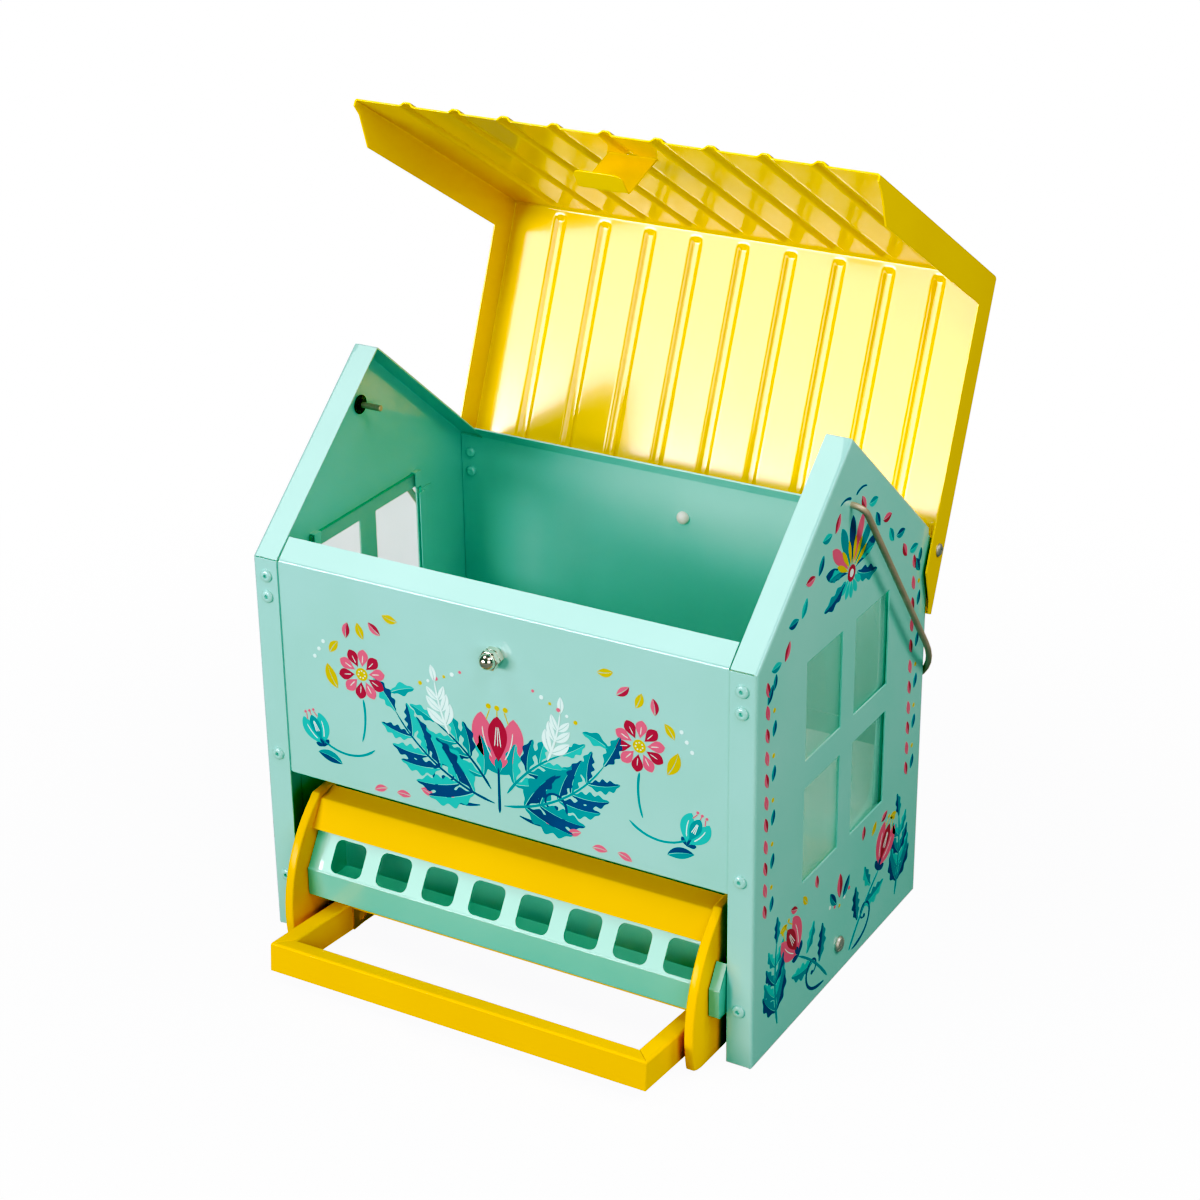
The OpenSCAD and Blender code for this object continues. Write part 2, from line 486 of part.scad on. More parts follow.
// hollow between the two skins
function cheek_hollow() = concat([[-hd + 14.7, 8], [-hd - 9.3, 8]], [for (a = [0 : 10 : 50]) rim(a) + 4.5 * [cos(a), -sin(a)]],
  [gate_back + [-1, -3.6], [pocket_y - 6.6, 30], [pocket_y + 5, axle_z + 4.6], [-14, axle_z + 4], [-14, axle_z - 4]]);
module cheek() color([0.91, 0.72, 0.02]) difference() {
  union() {
    // two skins with a folded rim between them
    difference() {
      yz(cheek_x, cheek_x + cheek_t) lever_outline();
      yz(cheek_x + t, cheek_x + cheek_t - t) polygon(cheek_hollow());
    }
    yz(cheek_x - 0.65, cheek_x + cheek_t + 0.65) translate([0, axle_z]) circle(r = 8.6, $fn = 64);
    // tail that carries the counterweight
    yz(cheek_x, cheek_x + 2) polygon([[0, axle_z - 8.6], [0, axle_z + 8.6], [weight_y, weight_z + weight_r - 4], [weight_y, weight_z - weight_r + 4]]);
    yz(cheek_x, cheek_x + 2) translate([weight_y, weight_z]) circle(r = weight_r - 4, $fn = 64);
  }
  rod_x(cheek_x - 2, cheek_x + cheek_t + 2, axle_r + pin_gap, 0, axle_z);
  rod_x(cheek_x - 2, cheek_x + cheek_t + 2, 2.5, weight_y, weight_z);
  // pressed line low on both skins
  for (x = [cheek_x + cheek_t - 0.3, cheek_x - 0.7]) translate([x, -hd - 7.8, 13]) cube([1, 1.4, 19]);
}
module lever_outline() union() {
  polygon(concat(cheek_outline(), [[-6, axle_z - 8]]));
  translate([0, axle_z]) circle(r = 8.8, $fn = 64);
}
module cheek_right() cheek();
module cheek_left() left() cheek();
// ties the two cheeks under the tray and carries the perch arms
module cross_bar() color([0.85, 0.66, 0.02]) difference() {
  union() {
    slab([-cheek_x, cross_y, cross_z - t], [cheek_x, cross_y + 25, cross_z + t]);
    slab([-perch_x + rail_w, cross_y, cross_z - 10.9], [perch_x - rail_w, cross_y + t, cross_z]);
    both() slab([perch_x, cross_y, cross_z - 5.4], [cheek_x, cross_y + t, cross_z]);
    both() slab([perch_x - rail_w - 0.9, cross_y + 1.5, 1.9], [perch_x - rail_w - 0.05, cross_y + 25, cross_z]);
    both() slab([cheek_x - t, cross_y, 12], [cheek_x - 0.05, cross_y + 13, cross_z]);
  }
  both() rod_x(perch_x - 16.7, perch_x - 6.7, 3.8, eye_y, eye_z);
  both() rod_x(perch_x - 16.7, perch_x - 6.7, rivet_r, arm_riv[0], arm_riv[1]);
}
// the perch slopes up a little to the front
module tilted(a = arm_slope) translate([0, perch_y, perch_z]) rotate([a, 0, 0]) translate([0, -perch_y, -perch_z]) children();
// channel of the rail, open downwards, mitred to the arms
module perch_rail() color([0.92, 0.78, 0.02]) tilted() intersection() {
  yz(-perch_x, perch_x) strip([[perch_y, perch_z - rail_h], [perch_y, perch_z], [perch_y + rail_w, perch_z], [perch_y + rail_w, perch_z - rail_h]], -1.2);
  translate([0, 0, -50]) linear_extrude(100) polygon([[-perch_x, perch_y], [perch_x, perch_y], [perch_x - 30, perch_y + 30], [-perch_x + 30, perch_y + 30]]);
}
module perch_arm() color([0.92, 0.76, 0.02]) tilted() intersection() {
  translate([0, perch_y, 0]) rotate([-90, 0, 0]) mirror([0, 1, 0]) linear_extrude(arm_end - perch_y)
    difference() {
      translate([perch_x - rail_w, perch_z - rail_h]) square([rail_w, rail_h]);
      translate([perch_x - rail_w + 1.2, perch_z - rail_h - 1]) square([rail_w - 2.4, rail_h - 0.2]);
    }
  difference() {
    translate([0, 0, -50]) linear_extrude(100) polygon([[perch_x + 0.01, perch_y + 0.02], [perch_x + 0.01, arm_end + 6],
      [perch_x - 30.05, arm_end + 6], [perch_x - 30.05, perch_y + 30.05]]);
    tilted(-arm_slope) rod_x(perch_x - 16.7, perch_x - 6.7, 3.8, eye_y, eye_z);
    tilted(-arm_slope) rod_x(perch_x - 16.7, perch_x + 3.3, rivet_r, arm_riv[0], arm_riv[1]);
  }
}
module perch_arm_right() perch_arm();
module perch_arm_left() left() perch_arm();
module arm_rivet() color([0.7, 0.7, 0.68]) translate([0, arm_riv[0], arm_riv[1]]) rotate([0, 90, 0]) rotate_extrude($fn = 48)
  polygon([[0, perch_x - rail_w - 2.2], [2.4, perch_x - rail_w - 2], [3, perch_x - rail_w - 0.9], [rivet_r, perch_x - rail_w - 0.9], [rivet_r, perch_x + 0.05], [3, perch_x + 0.05], [2.6, perch_x + 1.2], [0, perch_x + 1.5]]);
module arm_rivet_right() arm_rivet();
module arm_rivet_left() left() arm_rivet();

// counterweight that holds the gate up, screwed between the tails
module counterweight() color([0.46, 0.46, 0.47]) difference() {
  rod_x(-cheek_x + 0.02, cheek_x - 0.02, weight_r, weight_y, weight_z);
  both() rod_x(cheek_x - 12, cheek_x + 1, 2.5, weight_y, weight_z);
}
module weight_screw() color([0.7, 0.69, 0.66]) union() {
  rod_x(cheek_x - 11, cheek_x + 3, 2.5, weight_y, weight_z);
  translate([cheek_x + 2.02, weight_y, weight_z]) rotate([0, 90, 0]) cylinder(h = 3.2, r = 4.6, $fn = 6);
}
module weight_screw_right() weight_screw();
module weight_screw_left() left() weight_screw();

side_panel_left();
side_panel_right();
front_panel();
rear_panel();
hopper_floor();
throat_baffle();
seed_tray();
bottom_brace();
pane_left();
pane_right();
pane_channels_left();
pane_channels_right();
pane_clips_left();
pane_clips_right();
rivets_front();
rivets_rear();
rivets_brace();
latch_stud();
latch_nut();
latch_acorn();
rear_plug();
axle_rod();
axle_screw_left();
axle_screw_right();
hinge_bracket_left();
hinge_bracket_right();
lid_shell();
hinge_rivet_left();
hinge_rivet_right();
hinge_washer_left();
hinge_washer_right();
latch_hook();
bail_wire();
push_nut_left();
push_nut_right();
gate_bar();
cheek_left();
cheek_right();
cross_bar();
perch_rail();
perch_arm_left();
perch_arm_right();
arm_rivet_left();
arm_rivet_right();
counterweight();
weight_screw_left();
weight_screw_right();
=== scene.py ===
import math

import bmesh
import bpy
import numpy as np
from mathutils import Matrix, Vector


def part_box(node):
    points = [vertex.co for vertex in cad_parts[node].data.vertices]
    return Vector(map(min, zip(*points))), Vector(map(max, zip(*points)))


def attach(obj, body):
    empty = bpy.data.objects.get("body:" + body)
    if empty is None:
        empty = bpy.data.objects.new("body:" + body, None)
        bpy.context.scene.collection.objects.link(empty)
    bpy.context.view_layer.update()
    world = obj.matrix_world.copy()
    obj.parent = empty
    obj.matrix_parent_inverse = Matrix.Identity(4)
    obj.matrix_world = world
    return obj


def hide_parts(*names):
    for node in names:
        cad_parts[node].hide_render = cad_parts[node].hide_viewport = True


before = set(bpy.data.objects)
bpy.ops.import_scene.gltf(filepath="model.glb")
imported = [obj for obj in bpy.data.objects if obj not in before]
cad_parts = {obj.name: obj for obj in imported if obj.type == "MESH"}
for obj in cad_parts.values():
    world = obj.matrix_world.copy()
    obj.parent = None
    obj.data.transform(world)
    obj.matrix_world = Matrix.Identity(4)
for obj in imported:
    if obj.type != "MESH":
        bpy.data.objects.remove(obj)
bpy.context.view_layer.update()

# Sizes in millimetres, as the feeder's drawing gives them

MM = 0.001


def corner(node, which):
    """A corner of a node's box, in millimetres."""
    return np.array(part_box(node)[which]) / MM


HALF_W, HALF_D, APEX = corner("side_panel_right", 1)
EAVE = 227.3
SHEET, FLANGE, BEND = 1.0, 15.0, 1.6
ROOF = math.atan((APEX - EAVE) / HALF_D)
CR, SR, TR = math.cos(ROOF), math.sin(ROOF), math.tan(ROOF)
APEX_CUT = 0.5
FOLD_X = HALF_W - FLANGE - 1
PANEL_X = HALF_W - SHEET - 0.2
IN_Y = HALF_D - SHEET
FRONT_Z, REAR_Z = corner("front_panel", 0)[2], 1.2
FOLD_Z, FOLD_R, FOLD_RISE = 227.2, 2.6, 0.6
WINDOWS_Y = ((-47.2, -5.2), (10.4, 52.4))
WINDOWS_Z = ((82.5, 138.5), (154.6, 210.6))
STUD_Z = 202.7
RIVET_X = 142.0

RIDGE_Z = APEX + 0.25 + SHEET / CR
RIDGE_R = 2.5
LID_LEN, LID_X, LID_FLANGE, LID_CUT = 187.0, 152.9, 20.0, 4
LID_OPEN = math.radians(72)
HINGE_Y, HINGE_Z = 109.4, 211.6
RIB_COUNT, RIB_PITCH, RIB_H = 9, 30.1, 2.0
RIB_HALF, RIB_SIDE = 4.5, 3.1
RIB_START, RIB_RUN = 3.6, 4.6
SLOT_S = (150.8, 154.5)
SLOT_X = 14.9

HOOK_HALF, HOOK_R = 14.3, 4.0
HOOK_NOTCH_Z, HOOK_NOTCH = 217.3, 0.33

LIP_Y, LIP_Z0, LIP_Z1 = -110.2, 30.1, 47.5
TRAY_BACK = -75
TRAY_END = 134.6
PORT_A = math.radians(58)
PORT_COUNT, PORT_X0, PORT_PITCH = 8, -108.1, 29.76
PORT_W, PORT_H, PORT_R = 20.2, 19.8, 4.0
PORT_EASE = 0.45
SHELF_Z = 65.7

CHEEK_X, CHEEK_T = 122.3, 5.4
TRAY_IN, TRAY_OUT = CHEEK_X - 0.7, CHEEK_X + 6.3
AXLE_Z, HUB_R, BOSS_R, BOSS_OUT = 20, 8.8, 8.6, 0.65
RIM_C, RIM_R = (-46.8, 22.6), 78.6
PERCH_X, PERCH_Y, PERCH_Z = 116.7, -154.1, 24.7
RAIL_W, RAIL_H = 10.0, 17.0
RAIL_R, MITRE_GAP, PERCH_SHEET = 1.4, 0.1, 1.2
PERCH_TILT = math.radians(-5.3)
ARM_END = -66.0

BAIL_X, BAIL_Z, WIRE_R, WIRE_EASE = 157.1, 278.6, 1.75, 0.35
BAIL_BEND, BAIL_LEG, BAIL_R, BAIL_END = 6.95, 142.0, 72.0, 134.5
BAIL_A = math.radians(37.7)

HEAD_R, HOLLOW_R, TAIL_R = 3.7, 1.3, 2.9
NUT_FLATS, NUT_EASE = 10, 0.6
DOME_R, DOME_H, DOME_Y = 4.6, 4.55, 7.15


# Shapes worked out as arrays of points

def unit(v):
    """The vector divided by its length."""
    return v / np.linalg.norm(v)


def toward(angle):
    """(cos a, sin a), for one angle or a row of them."""
    return np.stack([np.cos(angle), np.sin(angle)], -1)


def quarter(count):
    """Even angles over a quarter turn."""
    return np.linspace(0, math.pi / 2, count)


def circle(count):
    """Even angles over a whole turn, its end left out."""
    return np.arange(count) * 2 * math.pi / count


def mids(values):
    """The middles between neighbours."""
    return (values[:-1] + values[1:]) / 2


def within(values, *spans):
    """True where a value lies inside one of the spans."""
    return np.any([(values > low) & (values < high) for low, high in spans], 0)


def spread(x, y, z):
    """Points of a grid from x, y and z, each a number, a row or a column that is widened to the grid."""
    return np.stack(np.broadcast_arrays(x, y, z), -1)


def rect(y0, y1, z0, z1):
    """A rectangle's four corners in (y, z)."""
    return [(y0, z0), (y1, z0), (y1, z1), (y0, z1)]


def rounded(points, radii, steps=5):
    """A line of points with each inner corner turned into an arc. The arc starts at r tan(turn / 2) before
    the corner and goes on by r sin(a) along the line and r (1 - cos(a)) inwards, a from 0 to the turn."""
    points = [np.array(p, float) for p in points]
    line = [points[:1]]
    for a, b, c, r in zip(points, points[1:], points[2:], radii):
        u, v = unit(b - a), unit(c - b)
        turn = math.acos(max(-1.0, min(1.0, float(u @ v))))
        if r <= 0 or turn < 1e-3:
            line.append(b[None])
            continue
        inward = unit(v - u * (u @ v))
        angle = np.linspace(0, turn, steps + 1)[:, None]
        start = b - u * r * math.tan(turn / 2)
        line.append(start + r * np.sin(angle) * u + r * (1 - np.cos(angle)) * inward)
    line.append(points[-1:])
    return np.concatenate([np.array(p, float).reshape(-1, len(points[0])) for p in line])


def between(stops, step):
    """The stops in order, with even values added so that no gap is over step."""
    stops = sorted(set(round(float(s), 4) for s in stops))
    runs = [np.linspace(a, b, max(1, math.ceil((b - a) / step - 1e-6)), endpoint=False)
            for a, b in zip(stops, stops[1:])]
    return np.concatenate(runs + [[stops[-1]]])


def grid(points, keep=None, wrap=False):
    """A surface through an array of rows by columns by 3: each cell joins a point to its neighbours in both
    directions, without the cells that keep leaves out. A wrapped grid's last column meets its first."""
    rows, columns = points.shape[:2]
    i, j = np.meshgrid(np.arange(rows - 1), np.arange(columns if wrap else columns - 1), indexing="ij")
    here, beside = i * columns + j, i * columns + (j + 1) % columns
    faces = np.stack([here, beside, beside + columns, here + columns], -1)
    return points.reshape(-1, 3), faces.reshape(-1, 4) if keep is None else faces[keep]


def closed_ends(rings):
    """A closed body through rings of points: the wall between them and a flat face on each end."""
    points, faces = grid(rings, wrap=True)
    count, total = rings.shape[1], len(points)
    ends = [list(range(count))[::-1], list(range(total - count, total))]
    return points, [list(face) for face in faces] + ends


def swept(line, xs, keep=None):
    """A line in (y, z) carried along x: point (i, j) is (x_j, y_i, z_i)."""
    line = np.asarray(line)
    return grid(spread(np.asarray(xs), line[:, :1], line[:, 1:]), keep)


def mirrored(parts):
    """The parts on the other side of the middle plane, their faces turned round to point outwards again."""
    return [(points * [-1, 1, 1], [face[::-1] for face in faces]) for points, faces in parts]


def turned_x(points, angle, y, z):
    """Points turned about the line through (y, z) that runs along x."""
    c, s = math.cos(angle), math.sin(angle)
    out = points.copy()
    dy, dz = points[:, 1] - y, points[:, 2] - z
    out[:, 1] = y + dy * c - dz * s
    out[:, 2] = z + dy * s + dz * c
    return out


def thrown(part):
    """A part of the closed lid, thrown back about the hinge line."""
    return turned_x(part[0], -LID_OPEN, HINGE_Y, HINGE_Z), part[1]


def facing(part, out, face=None):
    """The part with its faces turned so that the given one, or else the middle one, looks along out."""
    points, faces = part
    a, b, c = points[faces[len(faces) // 2 if face is None else face][:3]]
    return (points, faces[:, ::-1]) if np.dot(np.cross(b - a, c - a), out) < 0 else part


def inset(outline, d):
    """An outline moved inwards by d: each point goes along the sum of its two edges' normals over one plus
    their product, which keeps both edges at the distance d."""
    edge = np.roll(outline, -1, 0) - outline
    normal = np.stack([-edge[:, 1], edge[:, 0]], 1) / np.linalg.norm(edge, axis=1)[:, None]
    before = np.roll(normal, 1, 0)
    return outline + d * (normal + before) / (1 + (normal * before).sum(1))[:, None]


def plate(outline, x0, x1, edge=0.3, steps=2):
    """A flat plate between x0 and x1 with rounded edges. The outline is in (y, z). Each ring is the outline
    inset by edge (1 - sin a) at edge (1 - cos a) from the face."""
    outline = np.asarray(outline, float)
    y, z = outline.T
    if (y * np.roll(z, -1) - np.roll(y, -1) * z).sum() < 0:
        outline = outline[::-1]
    a = quarter(steps + 1)
    depth, ease = edge * (1 - np.sin(a)), edge * (1 - np.cos(a))
    levels = zip(np.concatenate([depth, depth[::-1]]), np.concatenate([x0 + ease, x1 - ease[::-1]]))
    return closed_ends(np.stack([np.insert(inset(outline, d), 0, x, 1) for d, x in levels]))


def lathed(profile, place, axis, count=32):
    """A profile of (distance along the axis, radius) turned about the axis: each point goes to
    place + distance * axis + radius * (cos a, sin a) across the axis."""
    axis = unit(np.array(axis, float))
    side = unit(np.cross(axis, [0.3, 0.5, 1.0]))
    ring = toward(circle(count)) @ np.stack([side, np.cross(axis, side)])
    profile = np.asarray(profile, float)
    points = np.array(place) + profile[:, 0, None, None] * axis + profile[:, 1, None, None] * ring
    points, faces = grid(points, wrap=True)
    return points, faces[:, ::-1]


def tube(path, radius, across, count=20):
    """A round closed tube along a path that lies in a plane square to across: its rings are
    centre + radius * (cos a * across + sin a * (across x direction))."""
    step = np.gradient(path, axis=0)
    side = np.cross(across, step / np.linalg.norm(step, axis=1)[:, None])[:, None]
    c, s = toward(circle(count)).T[..., None]
    return closed_ends(path[:, None] + radius[:, None, None] * (c * across + s * side))


def framed_hole(box, hole, rings=2):
    """A flat rectangle with a hole in (u, v): rings go from the hole's outline out to the rectangle, each
    point along its own direction from the hole's middle. The hole has a multiple of eight points."""
    u0, u1, v0, v1 = box
    middle = (hole.max(0) + hole.min(0)) / 2
    ray = hole - middle
    room = np.where(ray > 0, [u1, v1], [u0, v0]) - middle
    reach = np.divide(room, ray, out=np.full_like(ray, np.inf), where=abs(ray) > 1e-6).min(1)
    outer = middle + ray * reach[:, None]
    for tip in rect(*box):
        outer[np.argmin(np.hypot(*(outer - tip).T))] = tip
    return hole + np.linspace(0, 1, rings + 1)[:, None, None] * (outer - hole)


def round_rect(cu, cv, w, h, r, steps=4):
    """A rectangle with round corners about (cu, cv), as one closed line. Its straight sides have even points
    too, so that the rings round it meet a rectangle's sides well."""
    arc = toward(quarter(steps + 1)) * r
    corners = []
    for k, (su, sv) in enumerate(((1, 1), (-1, 1), (-1, -1), (1, -1))):
        c, s = toward(k * math.pi / 2)
        corners.append(arc @ np.array([[c, s], [-s, c]]) + [cu + su * (w / 2 - r), cv + sv * (h / 2 - r)])
    line = np.concatenate(corners)
    out = []
    for start, end in zip(line, np.roll(line, -1, 0)):
        out.append(start[None])
        if np.hypot(*(end - start)) > 2.4 * r / steps:
            out.append(np.linspace(start, end, 5)[1:-1])
    return np.concatenate(out)


# Making pieces

SHARP = math.radians(35)


def piece(name, parts, finish, body, replaces=(), slot=None, sheet=0.0, bevel=0.0, weld=1e-6):
    """One object from several parts, in metres at the origin. A sheet gets its thickness inwards, and a bevel
    rounds the sharp edges."""
    mesh = bpy.data.meshes.new(name)
    points, faces, start = [], [], 0
    for part_points, part_faces in parts:
        points.append(part_points)
        faces += [[int(k) + start for k in face] for face in part_faces]
        start += len(part_points)
    mesh.from_pydata((np.concatenate(points) * MM).tolist(), [], faces)
    bm = bmesh.new()
    bm.from_mesh(mesh)
    bmesh.ops.remove_doubles(bm, verts=bm.verts, dist=weld)
    if not sheet:
        bmesh.ops.recalc_face_normals(bm, faces=bm.faces)
    bm.to_mesh(mesh)
    bm.free()
    mesh.update()
    mesh.polygons.foreach_set("use_smooth", np.full(len(mesh.polygons), True))
    if not bevel:
        mesh.set_sharp_from_angle(angle=SHARP)
    obj = bpy.data.objects.new(name, mesh)
    bpy.context.scene.collection.objects.link(obj)
    if sheet:
        wall = obj.modifiers.new("wall", "SOLIDIFY")
        wall.thickness = sheet * MM
        wall.offset = -1
        wall.use_even_offset = True
    if bevel:
        round_edges(obj, bevel)
    if sheet or bevel:
        obj.modifiers.new("even_shading", "WEIGHTED_NORMAL").weight = 60
    mesh.materials.append(finish)
    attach(obj, body)
    if replaces:
        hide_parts(*replaces)
    return obj


def pair(node, form, parts, finish, body, slot, *edges):
    """The right piece of a node that has a right and a left one, and its mirror image, the left."""
    return [piece(f"{node}_{side}_{form}", own, finish, body, [f"{node}_{side}"], slot, *edges)
            for side, own in (("right", parts), ("left", mirrored(parts)))]


def round_edges(obj, width):
    """Rounds the sharp edges, and keeps the flat faces' shading flat."""
    edge = obj.modifiers.new("edges", "BEVEL")
    edge.width = width * MM
    edge.segments = 2
    edge.limit_method = "ANGLE"
    edge.angle_limit = SHARP
    edge.use_clamp_overlap = True
    edge.harden_normals = True
    edge.miter_outer = "MITER_ARC"


# Materials

# how high a bump of strength 1 stands, in metres
RELIEF = 0.0002


def srgb(code):
    """A colour written as six hex digits, as linear light."""
    v = np.array([int(code[i:i + 2], 16) for i in (0, 2, 4)]) / 255
    return tuple(np.where(v <= 0.04045, v / 12.92, ((v + 0.055) / 1.055) ** 2.4)) + (1.0,)


def fill(node, inputs):
    """Sets a node's inputs: each takes a link from another node's output, or else a plain value."""
    for key, value in inputs.items():
        if isinstance(value, bpy.types.NodeSocket):
            node.id_data.links.new(value, node.inputs[key])
        else:
            node.inputs[key].default_value = value


def add_node(tree, kind, inputs=None, **settings):
    """A new node's outputs, once its settings and then its inputs are set."""
    node = tree.nodes.new("ShaderNode" + kind)
    for key, value in settings.items():
        setattr(node, key, value)
    fill(node, inputs or {})
    return node.outputs


def place_in(tree):
    """The point's own place on the piece."""
    return add_node(tree, "TexCoord")["Object"]


def noise(tree, place, scale, detail=2):
    """A soft random pattern between 0 and 1."""
    return add_node(tree, "TexNoise", {"Vector": place, "Scale": scale, "Detail": detail})["Fac"]


def math_node(tree, operation, *values):
    """One sum of arithmetic on values or outputs."""
    return add_node(tree, "Math", dict(enumerate(values)), operation=operation)["Value"]


def effect_group(name, colours, numbers):
    """A node group with the given inputs and the outputs Colour, Roughness and Height, and its two ends."""
    tree = bpy.data.node_groups.new(name, "ShaderNodeTree")
    for kind, inputs in (("NodeSocketColor", colours), ("NodeSocketFloat", numbers)):
        for label, value in inputs.items():
            tree.interface.new_socket(name=label, in_out="INPUT", socket_type=kind).default_value = value
    for label, kind in (("Colour", "NodeSocketColor"), ("Roughness", "NodeSocketFloat"),
                        ("Height", "NodeSocketFloat")):
        tree.interface.new_socket(name=label, in_out="OUTPUT", socket_type=kind)
    return tree, tree.nodes.new("NodeGroupInput").outputs, tree.nodes.new("NodeGroupOutput")


def two_tones(tree, factor, first, second):
    """The first colour where the factor is 0, the second where it is 1."""
    return add_node(tree, "Mix", {"Factor": factor, "A": first, "B": second}, data_type="RGBA")["Result"]


def powder_group():
    """Powder coat from the point's own place: the tone changes slowly from one colour to the other, the
    height is fine orange peel on a slow swell, and the swell also varies the roughness."""
    tree, given, out = effect_group("powder_coat",
                                    {"Colour": (0.5, 0.7, 0.6, 1), "Deep colour": (0.4, 0.6, 0.5, 1)},
                                    {"Peel": 0.5, "Roughness": 0.25})
    place = place_in(tree)
    slow, peel, wave = noise(tree, place, 14, 3), noise(tree, place, 650), noise(tree, place, 45)
    tone = add_node(tree, "MapRange", {"Value": slow, "From Min": 0.3, "From Max": 0.7})["Result"]
    fine = math_node(tree, "MULTIPLY", peel, given["Peel"])
    fill(out, {"Colour": two_tones(tree, tone, given["Colour"], given["Deep colour"]),
               "Roughness": math_node(tree, "MULTIPLY_ADD", wave, 0.06, given["Roughness"]),
               "Height": math_node(tree, "MULTIPLY_ADD", wave, 1.6, fine)})
    return tree


def drawn_group():
    """Plated or drawn steel: fine marks along one way, and a slow change of tone."""
    tree, given, out = effect_group("drawn_metal",
                                    {"Colour": (0.6, 0.6, 0.6, 1), "Dull colour": (0.4, 0.4, 0.4, 1)},
                                    {"Roughness": 0.3, "Marks": 0.3})
    place = place_in(tree)
    along = add_node(tree, "Mapping", {"Vector": place, "Scale": (60, 900, 900)})["Vector"]
    marks, tone = noise(tree, along, 1, 3), noise(tree, place, 90)
    fill(out, {"Colour": two_tones(tree, tone, given["Colour"], given["Dull colour"]),
               "Roughness": math_node(tree, "MULTIPLY_ADD", marks, 0.15, given["Roughness"]),
               "Height": math_node(tree, "MULTIPLY", marks, given["Marks"])})
    return tree


def new_material(name):
    """An empty material, its node tree and the tree's Principled shader."""
    mat = bpy.data.materials.new(name)
    mat.use_nodes = True
    return mat, mat.node_tree, mat.node_tree.nodes["Principled BSDF"]


def finish_from(name, group, values, sockets, bump):
    """A Principled material whose colour, roughness and bump come from a shared group, and whose other
    sockets hold plain values."""
    mat, tree, shader = new_material(name)
    effect = add_node(tree, "Group", values, node_tree=group)
    relief = add_node(tree, "Bump", {"Strength": bump, "Distance": RELIEF, "Height": effect["Height"]})
    fill(shader, {"Base Color": effect["Colour"], "Roughness": effect["Roughness"],
                  "Normal": relief["Normal"], **sockets})
    return mat


POWDER, DRAWN = powder_group(), drawn_group()


def coat(name, colour, deep, peel, rough, bump, top=0.0, top_rough=0.03, gloss=0.5):
    """A painted or moulded finish. The last three are its clear top layer's weight and roughness, and the
    strength of its own reflection."""
    values = {"Colour": srgb(colour), "Deep colour": srgb(deep), "Peel": peel, "Roughness": rough}
    return finish_from(name, POWDER, values,
                       {"Coat Weight": top, "Coat Roughness": top_rough, "Specular IOR Level": gloss}, bump)


def metal(name, colour, dull, rough, marks, metallic, bump=0.1, top=0.0, top_rough=0.03):
    """A bare, plated or blackened metal."""
    values = {"Colour": srgb(colour), "Dull colour": srgb(dull), "Roughness": rough, "Marks": marks}
    return finish_from(name, DRAWN, values,
                       {"Metallic": metallic, "Coat Weight": top, "Coat Roughness": top_rough}, bump)


MINT = coat("mint_powder_coat", "97D3CA", "90CFC4", 0.5, 0.32, 0.03, 1.0, 0.03, 0.35)
# The lid's copy of the yellow paint is a paler lemon than the gate's copy below, which holds the paint's own
# colour: the lemon is painted light for the lid's brightly lit slopes. The two also differ in gloss.
YELLOW = coat("yellow_lid_coat_painted_light", "ECC300", "E8BD00", 0.4, 0.14, 0.03, 0.3, 0.02, 0.7)
GATE_YELLOW = coat("yellow_gate_coat", "E9B700", "E5B100", 0.5, 0.2, 0.05, 0.0, 0.1, 0.12)
# The tray's copy of the mint paint, darker and deeper than MINT: painted shade for the low tray under the
# gate and perch. Its glossier top layer is only gloss.
TRAY_MINT_SHADED = coat("mint_tray_coat_painted_shade", "79C3B0", "72BCA8", 0.5, 0.28, 0.04, 1.0, 0.05, 0.6)
WHITE = coat("white_nylon", "F2F2EC", "EAEAE2", 0.2, 0.35, 0.05)
# The panes' narrow sides: a deep green that paints in the glow of the light the acrylic gathers along its
# edges, on top of its own faint tint.
PANE_EDGE_GLOW = coat("pane_edge_painted_glow", "35B79B", "2FAE92", 0.2, 0.2, 0.03, 0.4)
ZINC = metal("zinc_plate", "C9C7C0", "A8A59C", 0.36, 0.3, 0.7)
CHROME = metal("polished_nickel", "E6E2D8", "D8D3C6", 0.05, 0.05, 1.0, 0.002)
WIRE = metal("drawn_wire", "C6B9A6", "AFA290", 0.4, 0.5, 0.5)
BLACK = metal("blackened_steel", "3A3632", "2A2724", 0.14, 0.2, 0.9, 0.05, 0.6, 0.05)

# Screen-printed enamel, a little flatter than the coat below it
INKS = {name: coat("ink_" + name, colour, deep, 0.8, 0.34, 0.12, 0.35, 0.1) for name, colour, deep in (
    ("navy", "1B5687", "16466F"), ("teal", "1593A0", "0F8392"), ("turquoise", "4DBDB8", "40B1AE"),
    ("pink", "DC6D88", "CF5C7B"), ("crimson", "A82450", "971D46"), ("mustard", "CDBB2C", "BFAB20"),
    ("off_white", "D9F1EC", "CDEAE4"))}


def clear_pane():
    """Clear acrylic: mostly open to light, with a faint green tint and a slight uneven haze."""
    mat, tree, shader = new_material("clear_acrylic")
    haze = noise(tree, place_in(tree), 22, 3)
    rough, cover = (add_node(tree, "MapRange", {"Value": haze, "To Min": low, "To Max": high})["Result"]
                    for low, high in ((0.04, 0.1), (0.19, 0.28)))
    fill(shader, {"Base Color": srgb("C9EEE2"), "Specular IOR Level": 1.0, "Coat Weight": 1.0,
                  "Coat Roughness": 0.02, "Roughness": rough, "Alpha": cover})
    return mat


# Housing

def gable_corners(o):
    """The side panel's five corners, inset by o: the slopes' shifts follow from the roof angle."""
    eave = EAVE - o / CR + o * TR
    y = HALF_D - o
    return np.array([[-y, o], [y, o], [y, eave], [0, APEX - o / CR], [-y, eave]])


